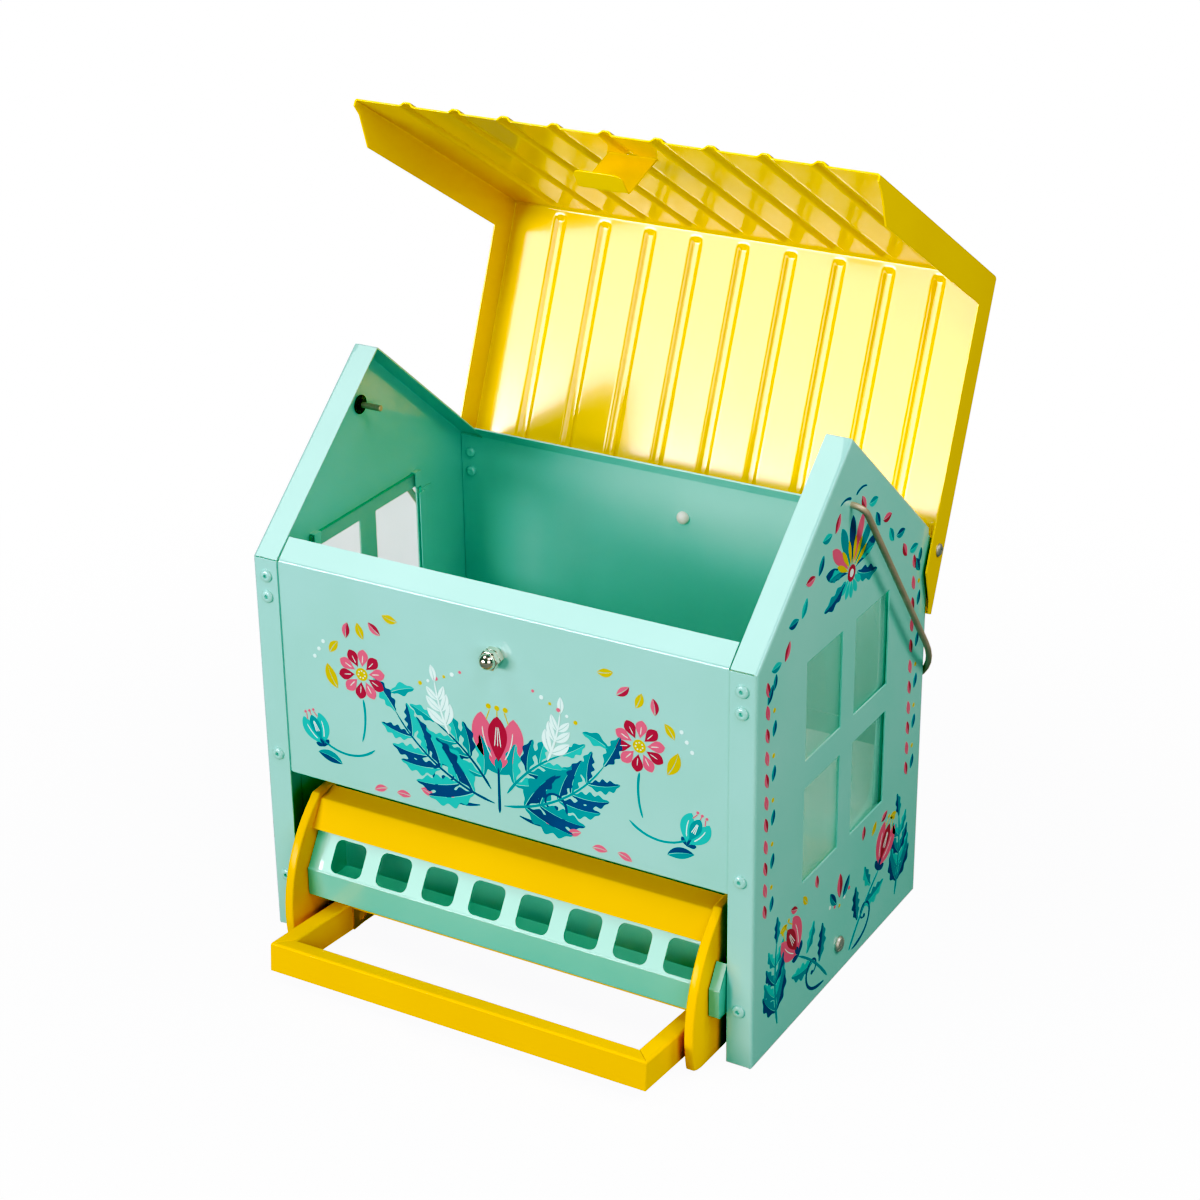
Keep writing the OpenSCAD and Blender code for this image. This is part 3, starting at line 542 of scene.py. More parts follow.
def side_panel():
    """Right side panel as an outer surface: the web is a grid whose upper rows narrow to the roof line, and
    each edge goes on through a quarter bend, inset BEND (1 - sin a) and depth BEND (1 - cos a), into its
    flange. The flanges leave a narrow slit at each corner. The tip is cut level, clear of the shut lid."""
    low, half = BEND, HALF_D - BEND
    eave, tip = gable_corners(BEND)[2:4, 1]
    ys = between([-half, half, *np.ravel(WINDOWS_Y)], 12)
    zs = between([low, eave, *np.ravel(WINDOWS_Z)], 14)
    rise = np.linspace(0, 1, 11)
    above = rise[1:, None]
    web = np.concatenate([spread(HALF_W, ys, zs[:, None]),
                          spread(HALF_W, ys * (1 - above), eave + (tip - eave) * above)])
    keep = np.ones((web.shape[0] - 1, web.shape[1] - 1), bool)
    keep[:len(zs) - 1] &= ~np.outer(within(mids(zs), *WINDOWS_Z), within(mids(ys), *WINDOWS_Y))
    parts = [facing(grid(web, keep), (1, 0, 0))]
    steps = [(BEND * (1 - math.sin(a)), HALF_W - BEND * (1 - math.cos(a)), 0) for a in quarter(6)]
    steps += [(0, x, 0.5) for x in between([HALF_W - FLANGE, HALF_W - BEND - 0.4], 4)[::-1]]
    along, up = (ys + half) / (2 * half), (zs - low) / (eave - low)
    edges = ((along, (0, 0, -1)), (up, (0, 1, 0)), (rise, (0, SR, CR)), (1 - rise[::-1], (0, -SR, CR)),
             (1 - up[::-1], (0, -1, 0)))
    for k, (t, out) in enumerate(edges):
        rows = []
        for o, x, slit in steps:
            p, q = gable_corners(o)[[k, (k + 1) % 5]]
            share = slit / np.hypot(*(q - p))
            line = p + (q - p) * (share + (1 - 2 * share) * t)[:, None]
            rows.append(np.insert(line, 0, x, 1))
        parts.append(facing(grid(np.stack(rows)), out, -(len(t) // 2)))
    return [(np.minimum(points, [np.inf, np.inf, APEX - APEX_CUT]), faces) for points, faces in parts]


def end_panel(way, foot, radii, levels, fold):
    """The outer face of the front (way -1) or rear panel: a line from its foot through the levels to a soft
    fold, carried along x. Above the eaves and in the hem it is narrower, between the side panels' flanges."""
    y, low = way * IN_Y, foot[0][1]
    line = rounded([*foot, (y, FOLD_Z), (y - way * fold * CR, EAVE + FOLD_RISE + fold * SR)], radii, 6)
    # the last eight points are the fold's arc and its upper end
    line = np.concatenate([line[:-8], [(y, z) for z in levels], line[-8:]])
    xs = between([-PANEL_X, -FOLD_X, FOLD_X, PANEL_X], 20)
    wide = within(mids(line[:, 1]), (low + 1, EAVE - 1))
    keep = wide[:, None] | (abs(mids(xs)) < FOLD_X)
    return [facing(swept(line, xs, keep), (0, way, 0))]


pair("side_panel", "sheet", side_panel(), MINT, "housing", "mint_paint", SHEET, 0.25)
front = end_panel(-1, [(-IN_Y + 5, FRONT_Z), (-IN_Y, FRONT_Z)], [1.0, FOLD_R], (120, 170, 224.2), 14)
rear = end_panel(1, [(IN_Y, REAR_Z)], [FOLD_R], (60, 120, 180, 224.2), 12)
for name, outer in (("front_panel", front), ("rear_panel", rear)):
    piece(name + "_sheet", outer, MINT, "housing", [name], "mint_paint", SHEET, 0.25)


def panes():
    """The clear panes: plates with softened edges from the right one's box. Their narrow sides have a finish
    of their own, a deep green that is a painted glow of the light the edges gather, on top of the acrylic's
    faint tint."""
    (x0, y0, z0), (x1, y1, z1) = corner("pane_right", 0), corner("pane_right", 1)
    for obj in pair("pane", "sheet", [plate(rect(y0, y1, z0, z1), x0, x1, 0.2)], clear_pane(), "housing",
                    "clear_pane"):
        obj.data.materials.append(PANE_EDGE_GLOW)
        normals = np.empty(len(obj.data.polygons) * 3)
        obj.data.polygons.foreach_get("normal", normals)
        obj.data.polygons.foreach_set("material_index", (abs(normals[::3]) < 0.9).astype(np.int32))


panes()


# Tray

def tray():
    """The tray's sheet: floor, lip and shelf are one line in (y, z) carried along x, and the port plate is a
    row of rectangles, each with a rounded hole, laid on the sloping line from the lip to the shelf."""
    base = np.array([LIP_Y + 0.9, LIP_Z1 + 0.2])
    shelf = np.array([LIP_Y + SHEET + 18.2 / math.tan(PORT_A), SHELF_Z])
    slope, out = shelf - base, (0, -1, 0.6)
    length = np.hypot(*slope)
    top = length * 0.93
    front = rounded([(TRAY_BACK, LIP_Z0), (LIP_Y, LIP_Z0), (LIP_Y, LIP_Z1 - 0.4), base], [1.2, 0.8], 4)
    parts = [facing(swept(front, between([-TRAY_IN, TRAY_IN], 30)), (0, -1, 0))]
    for x0, x1 in ((-TRAY_END, -TRAY_OUT), (TRAY_OUT, TRAY_END)):
        parts.append(facing(swept(front, between([x0, x1], 30)), (0, -1, 0)))
        parts.append(facing(swept([base, (-IN_Y - 0.1, 59.3)], [x0, x1]), out))

    def on_slope(uv):
        """A point of the port plate from its x and its distance up the slope."""
        return np.concatenate([uv[..., :1], base + uv[..., 1:] / length * slope], -1)

    middles = [PORT_X0 + PORT_W / 2 + i * PORT_PITCH for i in range(PORT_COUNT)]
    bounds = [-TRAY_IN] + [c - PORT_PITCH / 2 for c in middles] + [TRAY_IN]
    for c, x0, x1 in zip(middles, bounds[1:], bounds[2:]):
        hole = round_rect(c, 0.5 + PORT_H / 2 - PORT_EASE, PORT_W, PORT_H - 2 * PORT_EASE, PORT_R)
        parts.append(facing(grid(on_slope(framed_hole((x0, x1, 0, top), hole)), wrap=True), out))
    rest = np.stack(np.meshgrid(bounds[:2], [0, top]), -1)
    parts.append(facing(grid(on_slope(rest)), out))
    lap = rounded([base + slope * 0.93, shelf, (TRAY_BACK + 1, SHELF_Z)], [0.8], 4)
    return parts + [facing(swept(lap, between([-TRAY_IN, TRAY_IN], 10)), (0, 0, 1))]


def tray_walls():
    """The walls beside the cheeks, the end walls and the tabs behind the front flanges, as thin plates."""
    foot, brow, back = (LIP_Y + 0.7, LIP_Z0 + 0.5), (LIP_Y + 1.3, LIP_Z1), -IN_Y + 0.6
    wall = [foot, (TRAY_BACK, LIP_Z0 + 0.5), (TRAY_BACK, SHELF_Z - 0.5), (-98.2, SHELF_Z - 0.5), brow]
    end = [foot, (back, LIP_Z0 + 0.5), (back, 59), brow]
    tab = rect(-IN_Y + 0.1, -IN_Y + 1.1, LIP_Z0, 58)
    parts = [plate(outline, x0, x1, 0.15) for outline, x0, x1 in (
        (wall, TRAY_IN - 1, TRAY_IN), (end, TRAY_END - 1, TRAY_END), (tab, TRAY_END - 1, PANEL_X))]
    return parts + mirrored(parts)


piece("seed_tray_sheet", tray(), TRAY_MINT_SHADED, "housing", ["seed_tray"], "mint_paint", SHEET, 0.3)
piece("seed_tray_walls", tray_walls(), TRAY_MINT_SHADED, "housing", ["seed_tray"], "mint_paint")


# Lid

def smooth_step(t):
    """0 up to t = 0, 1 from t = 1, and t^2 (3 - 2 t) between."""
    t = np.clip(t, 0, 1)
    return t * t * (3 - 2 * t)


def lid_sheet():
    """Top face of the closed lid, one grid of rows from the front edge over the ridge to the rear edge. A row
    has the angle b of its normal and the distance e past the ridge's bend, so that a point at depth d lies at
    centre + (R - d)(sin b, cos b) + e along the slope. The ribs lift it by RIB_H times a smooth step across
    and a smooth start near the ridge. Beyond the slopes' sides the columns turn down through a bend into the
    flanges, whose ends are cut level."""
    centre, reach = RIDGE_Z - RIDGE_R / CR, RIDGE_R * TR
    run = LID_LEN - reach
    down = between([0, 1.2, 2.4, 3.6, 4.8, 6.2, run] + [s - reach for s in SLOT_S], 16)
    arc = np.linspace(-ROOF, ROOF, 9)[1:-1]
    b = np.concatenate([np.full(len(down), -ROOF), arc, np.full(len(down), ROOF)])
    e = np.concatenate([down[::-1], np.zeros(len(arc)), down])
    start = smooth_step((e + reach - RIB_START) / RIB_RUN)
    ribs = (np.arange(RIB_COUNT) - (RIB_COUNT - 1) / 2) * RIB_PITCH
    across = np.array([-5.4, -4.5, -3.9, -3.3, -2.7, -2.1, -1.4, 0, 1.4, 2.1, 2.7, 3.3, 3.9, 4.5, 5.4])
    flat = LID_X - BEND
    xs = between([*(ribs[:, None] + across).ravel(), -flat, flat, -SLOT_X, SLOT_X], 9)
    lift = RIB_H * smooth_step((RIB_HALF - abs(xs[:, None] - ribs).min(1)) / RIB_SIDE)
    bend = quarter(6)[1:]
    drop = np.concatenate([BEND * (1 - np.cos(bend)), between([BEND + 1, LID_CUT, LID_FLANGE], 3)])
    side_x = np.concatenate([flat + BEND * np.sin(bend), np.full(len(drop) - len(bend), LID_X)])
    x = np.concatenate([-side_x[::-1], xs, side_x])
    depth = np.concatenate([drop[::-1], np.zeros(len(xs)), drop])
    lift = np.pad(lift, len(drop)) * start[:, None]
    first = np.maximum(0, depth - RIDGE_R) * TR
    last = np.where(depth > LID_CUT, run - LID_CUT - (depth - LID_CUT) * CR / SR,
                    run - 0.25 * np.minimum(depth, 1))
    on_slope = (abs(b) == ROOF)[:, None]
    e_cut = np.where(on_slope, first + (last - first) * (e / run)[:, None], 0)
    radius = np.maximum(RIDGE_R - depth, 0) + lift
    past = np.maximum(depth - RIDGE_R, 0)
    normal_y, normal_z = np.sin(b)[:, None], np.cos(b)[:, None]
    y = radius * normal_y + np.sign(b)[:, None] * e_cut * CR - np.where(on_slope, past * normal_y, 0)
    z = centre + radius * normal_z - e_cut * SR - np.where(on_slope, past * normal_z, past / CR)
    front = (b[:-1] < 0) & (b[1:] <= -ROOF + 1e-9)
    slot = (front & within(mids(e) + reach, SLOT_S))[:, None] & (abs(mids(x)) < SLOT_X)
    points, faces = grid(spread(x, y, z), ~slot)
    p, q, r = (points[faces[:, k]] for k in range(3))
    if np.cross(q - p, r - p)[:, 2].sum() < 0:
        faces = faces[:, ::-1]
    return [thrown((points, faces))]


piece("lid_sheet", lid_sheet(), YELLOW, "lid", ["lid_shell"], "yellow_paint", SHEET, 0.2)


# Latch plate

def latch_plate():
    """The hook's plate: a line in (y, z) of the closed lid with one round bend, carried along x between edges
    that round off at the lip: half width = full - (r - sqrt(r^2 - (r - d)^2)) at a distance d from the end.
    Its top has a notch in the middle."""
    line = rounded([(-115.25, 219.2), (-114.45, 184.6), (-128.1, 180.6)], [3.2], 6)
    lip = line[-2] + np.linspace(0, 1, 9)[1:, None] ** 0.6 * (line[-1] - line[-2])
    line = np.concatenate([line[:1], [[-115.2, 217.3], [-115.1, 212], [-114.95, 205], [-114.6, 195]],
                           line[1:8], lip])
    gone = np.cumsum(np.r_[0, np.hypot(*np.diff(line, axis=0).T)])
    d = np.clip(gone[-1] - gone, 0, HOOK_R)
    width = HOOK_HALF - (HOOK_R - np.sqrt(np.maximum(HOOK_R ** 2 - (HOOK_R - d) ** 2, 0)))
    t = np.array([-1, -0.66, -0.322, 0, 0.322, 0.66, 1])
    notch = (mids(line[:, 1]) > HOOK_NOTCH_Z)[:, None] & (abs(mids(t)) < HOOK_NOTCH)
    return [thrown(facing(grid(spread(width[:, None] * t, line[:, :1], line[:, 1:]), ~notch), (0, 1, 0)))]


def latch_ears():
    """The rolled head that the hook hangs by: a rod with rounded ends, turned about x, thinner in its
    middle."""
    half = np.array([(17.8, 0), (17.8, 0.9), (17.4, 1.3), (5.2, 1.3), (4.6, 1.1)])
    profile = np.concatenate([half * [-1, 1], half[::-1]])
    return [thrown(lathed(profile, (0, -115.654, 219.83), (1, 0, 0), 20))]


piece("latch_hook_plate", latch_plate(), YELLOW, "latch", ["latch_hook"], "yellow_paint", 0.8, 0.15)
piece("latch_hook_ears", latch_ears(), YELLOW, "latch", ["latch_hook"], "yellow_paint")


# Bail

def bail():
    """The bail's wire: a round tube along one rounded line in the bail's own plane, its ends eased, then
    swung back."""
    drop = -BAIL_LEG - BAIL_R
    line = rounded([(BAIL_END, 0, 0), (BAIL_X, 0, 0), (BAIL_X, 0, drop), (0, 0, drop)],
                   [BAIL_BEND, BAIL_R], 14)[:-1]
    line = np.concatenate([line, line[::-1] * [-1, 1, 1]])
    ease = np.array([WIRE_EASE, 0, 0])
    line = np.concatenate([line[:1], line[:1] + ease, line[1:-1], line[-1:] - ease, line[-1:]])
    radius = np.full(len(line), WIRE_R)
    radius[[0, -1]] -= WIRE_EASE
    points, faces = tube(line, radius, np.array([0.0, 1.0, 0.0]))
    return [(turned_x(points, BAIL_A, 0, 0) + [0, 0, BAIL_Z], faces)]


piece("bail_wire_round", bail(), WIRE, "bail", ["bail_wire"], "dark_steel")


# Gate

def gate_bar():
    """The bar's outer face: a line in (y, z) with a fold, carried along x."""
    line = rounded([(-102.6, 68.6), (-93.4, 83.2), (-81, 85.6)], [1.8], 6)
    return [facing(swept(line, between([-CHEEK_X, CHEEK_X], 20)), (0, -1, 0.5))]


def cheek_outline():
    """The cheek's outline in (y, z): straight at the foot, then the rim, an arc of radius RIM_R, then the top
    and the inner edge back to the round hub."""
    rim = RIM_C + RIM_R * toward(np.radians(np.linspace(-13.5, 50.5, 40))) * [-1, 1]
    top = rounded([rim[-1], (-93.9, 86.1), (-79, 87), (-77.2, 84), (-76.4, 28.8), (-8, 28.8)],
                  [1.6, 1.6, 0, 6], 5)
    hub = [0, AXLE_Z] + HUB_R * toward(np.radians(np.linspace(90, -80, 14)))
    foot = [(-6, 11.8), (-90, 0.9), (-116, 2), (-120.2, 2.9)]
    return np.concatenate([rim, top[1:-1], hub, foot])


def cheek():
    """A cheek: a rounded plate with the hub's boss and the tail that carries the counterweight."""
    end = [81, 22] + 9 * toward(np.radians(np.linspace(-90, 90, 14)))
    tail = np.concatenate([[(0, 28.6), (0, 11.4)], end])
    thick, rim = CHEEK_T + 2 * BOSS_OUT, BOSS_R - 0.4
    boss = [(0, 0), (0, rim), (0.3, BOSS_R), (thick - 0.3, BOSS_R), (thick, rim), (thick, 0)]
    return [plate(cheek_outline(), CHEEK_X, CHEEK_X + CHEEK_T, 0.9, 3), plate(tail, CHEEK_X, CHEEK_X + 2),
            lathed(boss, (CHEEK_X - BOSS_OUT, 0, AXLE_Z), (1, 0, 0), 40)]


def perch():
    """The rail and the right arm: one section of (distance from the outer face, height), down, over the top
    and down. The rail's ends and the arm's start are cut along the mitre, so that a point at a distance w
    from the outer face ends w further in. Both slope up to the front."""
    section = rounded([(0, -RAIL_H), (0, 0), (RAIL_W, 0), (RAIL_W, -RAIL_H)], [RAIL_R, RAIL_R])
    w, h = section[:, :1], section[:, 1:]
    rail = spread((PERCH_X - w - MITRE_GAP) * np.linspace(-1, 1, 13), PERCH_Y + w, PERCH_Z + h)
    start = PERCH_Y + w + MITRE_GAP
    arm = spread(PERCH_X - w, start + (ARM_END - start) * np.linspace(0, 1, 9), PERCH_Z + h)
    tilted = []
    for points, faces in (facing(grid(shape), (0, 0, 1)) for shape in (rail, arm)):
        tilted.append([(turned_x(points, PERCH_TILT, PERCH_Y, PERCH_Z), faces)])
    return tilted


rail, arm = perch()
ON_GATE = (GATE_YELLOW, "gate", "yellow_paint")
piece("gate_bar_sheet", gate_bar(), GATE_YELLOW, "gate", ["gate_bar"], "yellow_paint", SHEET, 0.2)
pair("cheek", "shell", cheek(), *ON_GATE)
piece("perch_rail_sheet", rail, GATE_YELLOW, "gate", ["perch_rail"], "yellow_paint", PERCH_SHEET, 0.35)
pair("perch_arm", "sheet", arm, *ON_GATE, PERCH_SHEET, 0.35)


# Fixings

def blind_rivet(place, way):
    """A domed rivet head with the mandrel's hollow, its rim a quarter circle: turned about its axis."""
    a = quarter(6)
    dome = np.column_stack([0.15 + 1.35 * np.sin(a), HEAD_R - 2.2 * (1 - np.cos(a))])
    profile = np.concatenate([[(-1, 0), (-1, 1.6), (0, 1.6), (0, HEAD_R)], dome,
                              [(1.45, HOLLOW_R), (1.2, 1.15), (-0.9, 1.1), (-0.9, 0)]])
    return lathed(profile, place, way)


def rivet_tail(place, way):
    """The pressed end of a blind rivet: a low barrel with a round top."""
    a = quarter(5)
    top = np.column_stack([1.0 + 1.2 * np.sin(a), 1.3 + 1.7 * np.cos(a)])
    return lathed(np.concatenate([[(-0.3, 0), (-0.3, TAIL_R)], top, [(2.1, 0.9), (1.9, 0)]]), place, way, 24)


# the two upper rear rivets sit on the hinge brackets, a sheet further out
for end, way, rows in (("front", -1, ((217.1, 0), (205.1, 0), (110.2, 0), (33.3, 0))),
                       ("rear", 1, ((216, SHEET), (204, SHEET), (120, 0), (60, 0)))):
    spots = [(s * RIVET_X, z, lift) for s in (-1, 1) for z, lift in rows]
    rivets = [blind_rivet((x, way * (HALF_D + lift), z), (0, way, 0)) for x, z, lift in spots]
    rivets += [rivet_tail((x, way * (IN_Y - 1.1), z), (0, -way, 0)) for x, z, lift in spots]
    piece(f"rivets_{end}_domed", rivets, MINT, "housing", ["rivets_" + end], "mint_paint")


def hex_nut(y0, y1):
    """A chamfered hexagon along y: at each angle the radius is the lesser of the hexagon's, flats / 2 over
    the cosine of the angle from the flat's middle, and a cone that opens from both faces."""
    a = circle(96)
    hexagon = NUT_FLATS / 2 / np.cos((a + math.pi / 6) % (math.pi / 3) - math.pi / 6)
    depth = np.linspace(0, 1, 9)
    cone = NUT_FLATS / 2 * 0.98 + np.concatenate([depth, depth[::-1]])
    r = np.pad(np.minimum(hexagon, cone[:, None]), ((1, 1), (0, 0)))
    ys = np.concatenate([[y0], y0 + depth * NUT_EASE, y1 - depth[::-1] * NUT_EASE, [y1]])
    return grid(spread(r * np.sin(a), ys[:, None], STUD_Z + r * np.cos(a)), wrap=True)


def acorn():
    """The acorn nut's dome: a neck, then half an ellipse turned about the stud."""
    a = quarter(14)
    dome = np.column_stack([DOME_Y + DOME_H * np.sin(a), DOME_R * np.cos(a)])
    profile = np.concatenate([[(6.9, 0), (6.9, DOME_R)], dome])
    return lathed(profile, (0, -IN_Y, STUD_Z), (0, -1, 0), 64)


def rear_plug():
    """The plug in the rear panel: a snap end behind the sheet and a low round cap before it."""
    a = quarter(12)
    cap = np.column_stack([0.2 + 3.3 * np.sin(a), 3.9 * np.cos(a)])
    profile = np.concatenate([[(-3.3, 0), (-3.2, 2.6), (-1.1, 3.1), (0, 2.5), (0, 3.8)], cap])
    return lathed(profile, (0, IN_Y - SHEET, STUD_Z), (0, -1, 0), 40)


piece("latch_nut_chamfered", [hex_nut(-IN_Y - 3.9, -IN_Y)], CHROME, "housing", ["latch_nut"], "bright_steel")
piece("latch_acorn_domed", [hex_nut(-IN_Y - 7.2, -IN_Y - 4), acorn()], CHROME, "housing", ["latch_acorn"],
      "chrome")
piece("rear_plug_domed", [rear_plug()], WHITE, "housing", ["rear_plug"], "white_plastic")


# Printed decoration

def arc_line(at, heading, length, bend, count=14):
    """A line of the given length that starts along heading and turns evenly by bend in all."""
    step = toward(heading + bend * np.linspace(0, 1, count)) * length / (count - 1)
    return at + np.concatenate([[[0, 0]], np.cumsum(mids(step), 0)])


def ribbon(line, left, right, layer=1):
    """A flat ribbon as a closed slab: each point of the line gives four corners, left and right of it, from
    just inside the sheet up to the layer's height above it. The result is in (u, v, height)."""
    step = np.gradient(line, axis=0)
    step /= np.maximum(np.linalg.norm(step, axis=1), 1e-9)[:, None]
    side = np.column_stack([-step[:, 1], step[:, 0]])
    a, b = line + side * left[:, None], line - side * right[:, None]
    rings = [np.insert(edge, 2, height, 1) for edge, height in (
        (a, -0.05), (b, -0.05), (b, 0.03 + 0.06 * layer), (a, 0.03 + 0.06 * layer))]
    return closed_ends(np.stack(rings, 1))


def flipped(s):
    """What turns a heading of the right half (s = 1) into the half's own: its mirror image on the left."""
    return lambda a: a if s > 0 else math.pi - a


class Print:
    """The printed shapes of one panel, sorted by ink."""

    def __init__(self):
        self.inks, self.count = {}, 0

    def add(self, ink, part):
        """Keeps one shape under its ink, a hair above the shape before it, so that no two faces coincide."""
        points, faces = part
        self.count += 1
        points[:, 2] += np.where(points[:, 2] > 0, 0.0015 * (self.count % 40), 0)
        self.inks.setdefault(ink, []).append((points, faces))

    def stroke(self, ink, at, heading, length, bend, start, end, layer=1, count=14):
        """A brush line that goes from one half width to another, with drawn-in ends."""
        line = arc_line(at, heading, length, bend, count)
        t = np.linspace(0, 1, count)
        w = (start + (end - start) * t) * np.clip(np.minimum(t, 1 - t) * 9 + 0.25, 0, 1)
        self.add(ink, ribbon(line, w, w, layer))
        return line

    def dot(self, ink, at, radius, layer=1):
        """A round spot: half width radius sqrt(1 - s^2) along a short line, s from -1 to 1."""
        s = np.sin(np.linspace(-1, 1, 15) * math.pi / 2)
        w = np.maximum(radius * np.sqrt(1 - s * s), 0.03)
        self.add(ink, ribbon(at + np.outer(s * radius, [1, 0]), w, w, layer))

    def petal(self, ink, at, heading, length, width, full=1.5, bend=0.0, layer=1):
        """A petal, broadest past its middle: half width = width sin(pi t^full)^0.75."""
        t = np.linspace(0, 1, 16)
        w = np.maximum(width * np.sin(math.pi * t ** full) ** 0.75, 0.03)
        self.add(ink, ribbon(arc_line(at, heading, length, bend, 16), w, w, layer))

    def leaf(self, inks, at, heading, length, width, bend, lobes=0):
        """A leaf in two halves with a clear vein between them: half width = width sin(pi t)^0.8. The lobes
        are waves on its outer edge."""
        t = np.linspace(0, 1, 12 + 5 * lobes)
        line = arc_line(at, heading, length, bend, len(t))
        wave = 0.24 * np.cos(2 * math.pi * lobes * t) - 0.1 if lobes else 0
        w = width * np.sin(math.pi * t) ** 0.8 * (1 + wave)
        vein = np.minimum(0.28 * (1 - 0.7 * t), w * 0.4 + 0.02)
        w = np.maximum(w, vein + 0.05)
        self.add(inks[0], ribbon(line, w, -vein))
        self.add(inks[-1], ribbon(line, -vein, w))

    def curl(self, ink, at, heading, size, turns, sign, width):
        """A scroll: a line whose turning grows along it, so that it winds in; it ends in a spot."""
        t = np.linspace(0, 1, 40)
        turn = heading + sign * 2 * math.pi * turns * t ** 1.8
        line = at + np.cumsum(toward(turn) * size * (1 - 0.55 * t)[:, None] / len(t), 0)
        w = width * (1 - 0.6 * t) * np.clip(t * 8 + 0.3, 0, 1)
        self.add(ink, ribbon(line, w, w))
        self.dot(ink, line[-1], width * 1.25)

    def fan(self, inks, at, heading, length, width, count, sweep, layer=1, full=1.5, start=0.0):
        """Petals side by side in a fan, in turn from the given inks."""
        for k in range(count):
            a = heading + sweep * (k / (count - 1) - 0.5)
            self.petal(inks[k % len(inks)], at + start * toward(a), a, length, width, full, layer=layer)

    def daisy(self, inks, at, radius, count, centre, turn):
        """A round flower: petals about a middle, short marks on them and a ring of specks."""
        at = np.array(at)
        wide = radius * 0.72 * math.sin(math.pi / count)
        for k in range(count):
            a = turn + 2 * math.pi * k / count
            self.petal(inks[k % len(inks)], at + toward(a) * radius * 0.3, a, radius * 0.7, wide)
            self.stroke("off_white", at + toward(a) * radius * 0.46, a, radius * 0.3, 0, 0.22, 0.16, 2, 6)
        self.dot(centre, at, radius * 0.25)
        for k in range(7):
            a = turn + 2 * math.pi * (k + 0.5) / 7
            self.dot("off_white", at + radius * 0.14 * toward(a), radius * 0.028, 2)

    def tulip(self, inks, at, heading, size):
        """A cup flower seen from the side: outer petals, an inner fan, stripes and stamens on top."""
        way, at = toward(heading), np.array(at)
        side = np.array([-way[1], way[0]])
        for s in (-1, 1):
            self.petal(inks[0], at + side * s * size * 0.04, heading + s * 0.62, size * 0.95, size * 0.2,
                       1.2, -s * 0.7)
            self.stroke("off_white", at + way * size * 0.16 + side * s * size * 0.12, heading + s * 0.55,
                        size * 0.52, -s * 0.5, 0.3, 0.2, 2)
        self.petal(inks[1], at + way * size * 0.1, heading, size * 0.78, size * 0.17, 1.3, 0, 2)
        for k in (-1, 0, 1):
            self.stroke("off_white", at + way * size * 0.36 + side * k * size * 0.055, heading - k * 0.1,
                        size * 0.34, 0, 0.26, 0.18, 3)
        for k in (-1, 0, 1):
            tip = at + way * size * 0.92 + side * k * size * 0.2
            self.stroke(inks[2], tip - way * size * 0.14, heading - k * 0.35, size * 0.2, 0, 0.3, 0.3)
            self.dot(inks[2], tip + way * size * 0.1 - side * k * size * 0.05, size * 0.045)
        self.fan([inks[3]], at - way * size * 0.12, heading, size * 0.3, size * 0.07, 3, 1.9)

    def sprig(self, stem_ink, leaf_inks, at, heading, length, bend, pairs, width, lobes=0):
        """A stem with leaves in pairs that shorten towards its tip, and a leaf at the end."""
        line = self.stroke(stem_ink, at, heading, length, bend, 0.75, 0.35, 2, 24)
        turn = heading + bend * np.linspace(0, 1, 24)
        for k in range(pairs):
            i = int(round((0.16 + 0.76 * k / pairs) * 23))
            size = width * (1.25 - 0.55 * k / pairs)
            inks = leaf_inks[k % len(leaf_inks)]
            for s in (-1, 1):
                self.leaf(inks[::s], line[i], turn[i] + s * 0.85, size * 2.6, size * 0.5, -s * 0.5, lobes)
        self.leaf(leaf_inks[0], line[-1], turn[-1], width * 2.3, width * 0.45, 0.2, lobes)

    def lay(self, name, place, turn=1):
        """One piece for each ink, every shape carried onto the panel by place. A turn of -1 turns the faces
        round, for a place that mirrors."""
        for ink, parts in sorted(self.inks.items()):
            placed = [(place(*points.T), [face[::turn] for face in faces]) for points, faces in parts]
            piece(name + "_" + ink, placed, INKS[ink], "housing", slot="mint_paint", weld=1e-7)


PINK, GOLD, ROSE = ("pink", "crimson"), ("mustard", "mustard"), ("pink", "pink")
DEEP, CLEAR, BLUE, POOL, SEA = (("navy", "teal"), ("teal", "turquoise"), ("teal", "navy"),
                                ("turquoise", "teal"), ("navy", "turquoise"))
UP = math.pi / 2


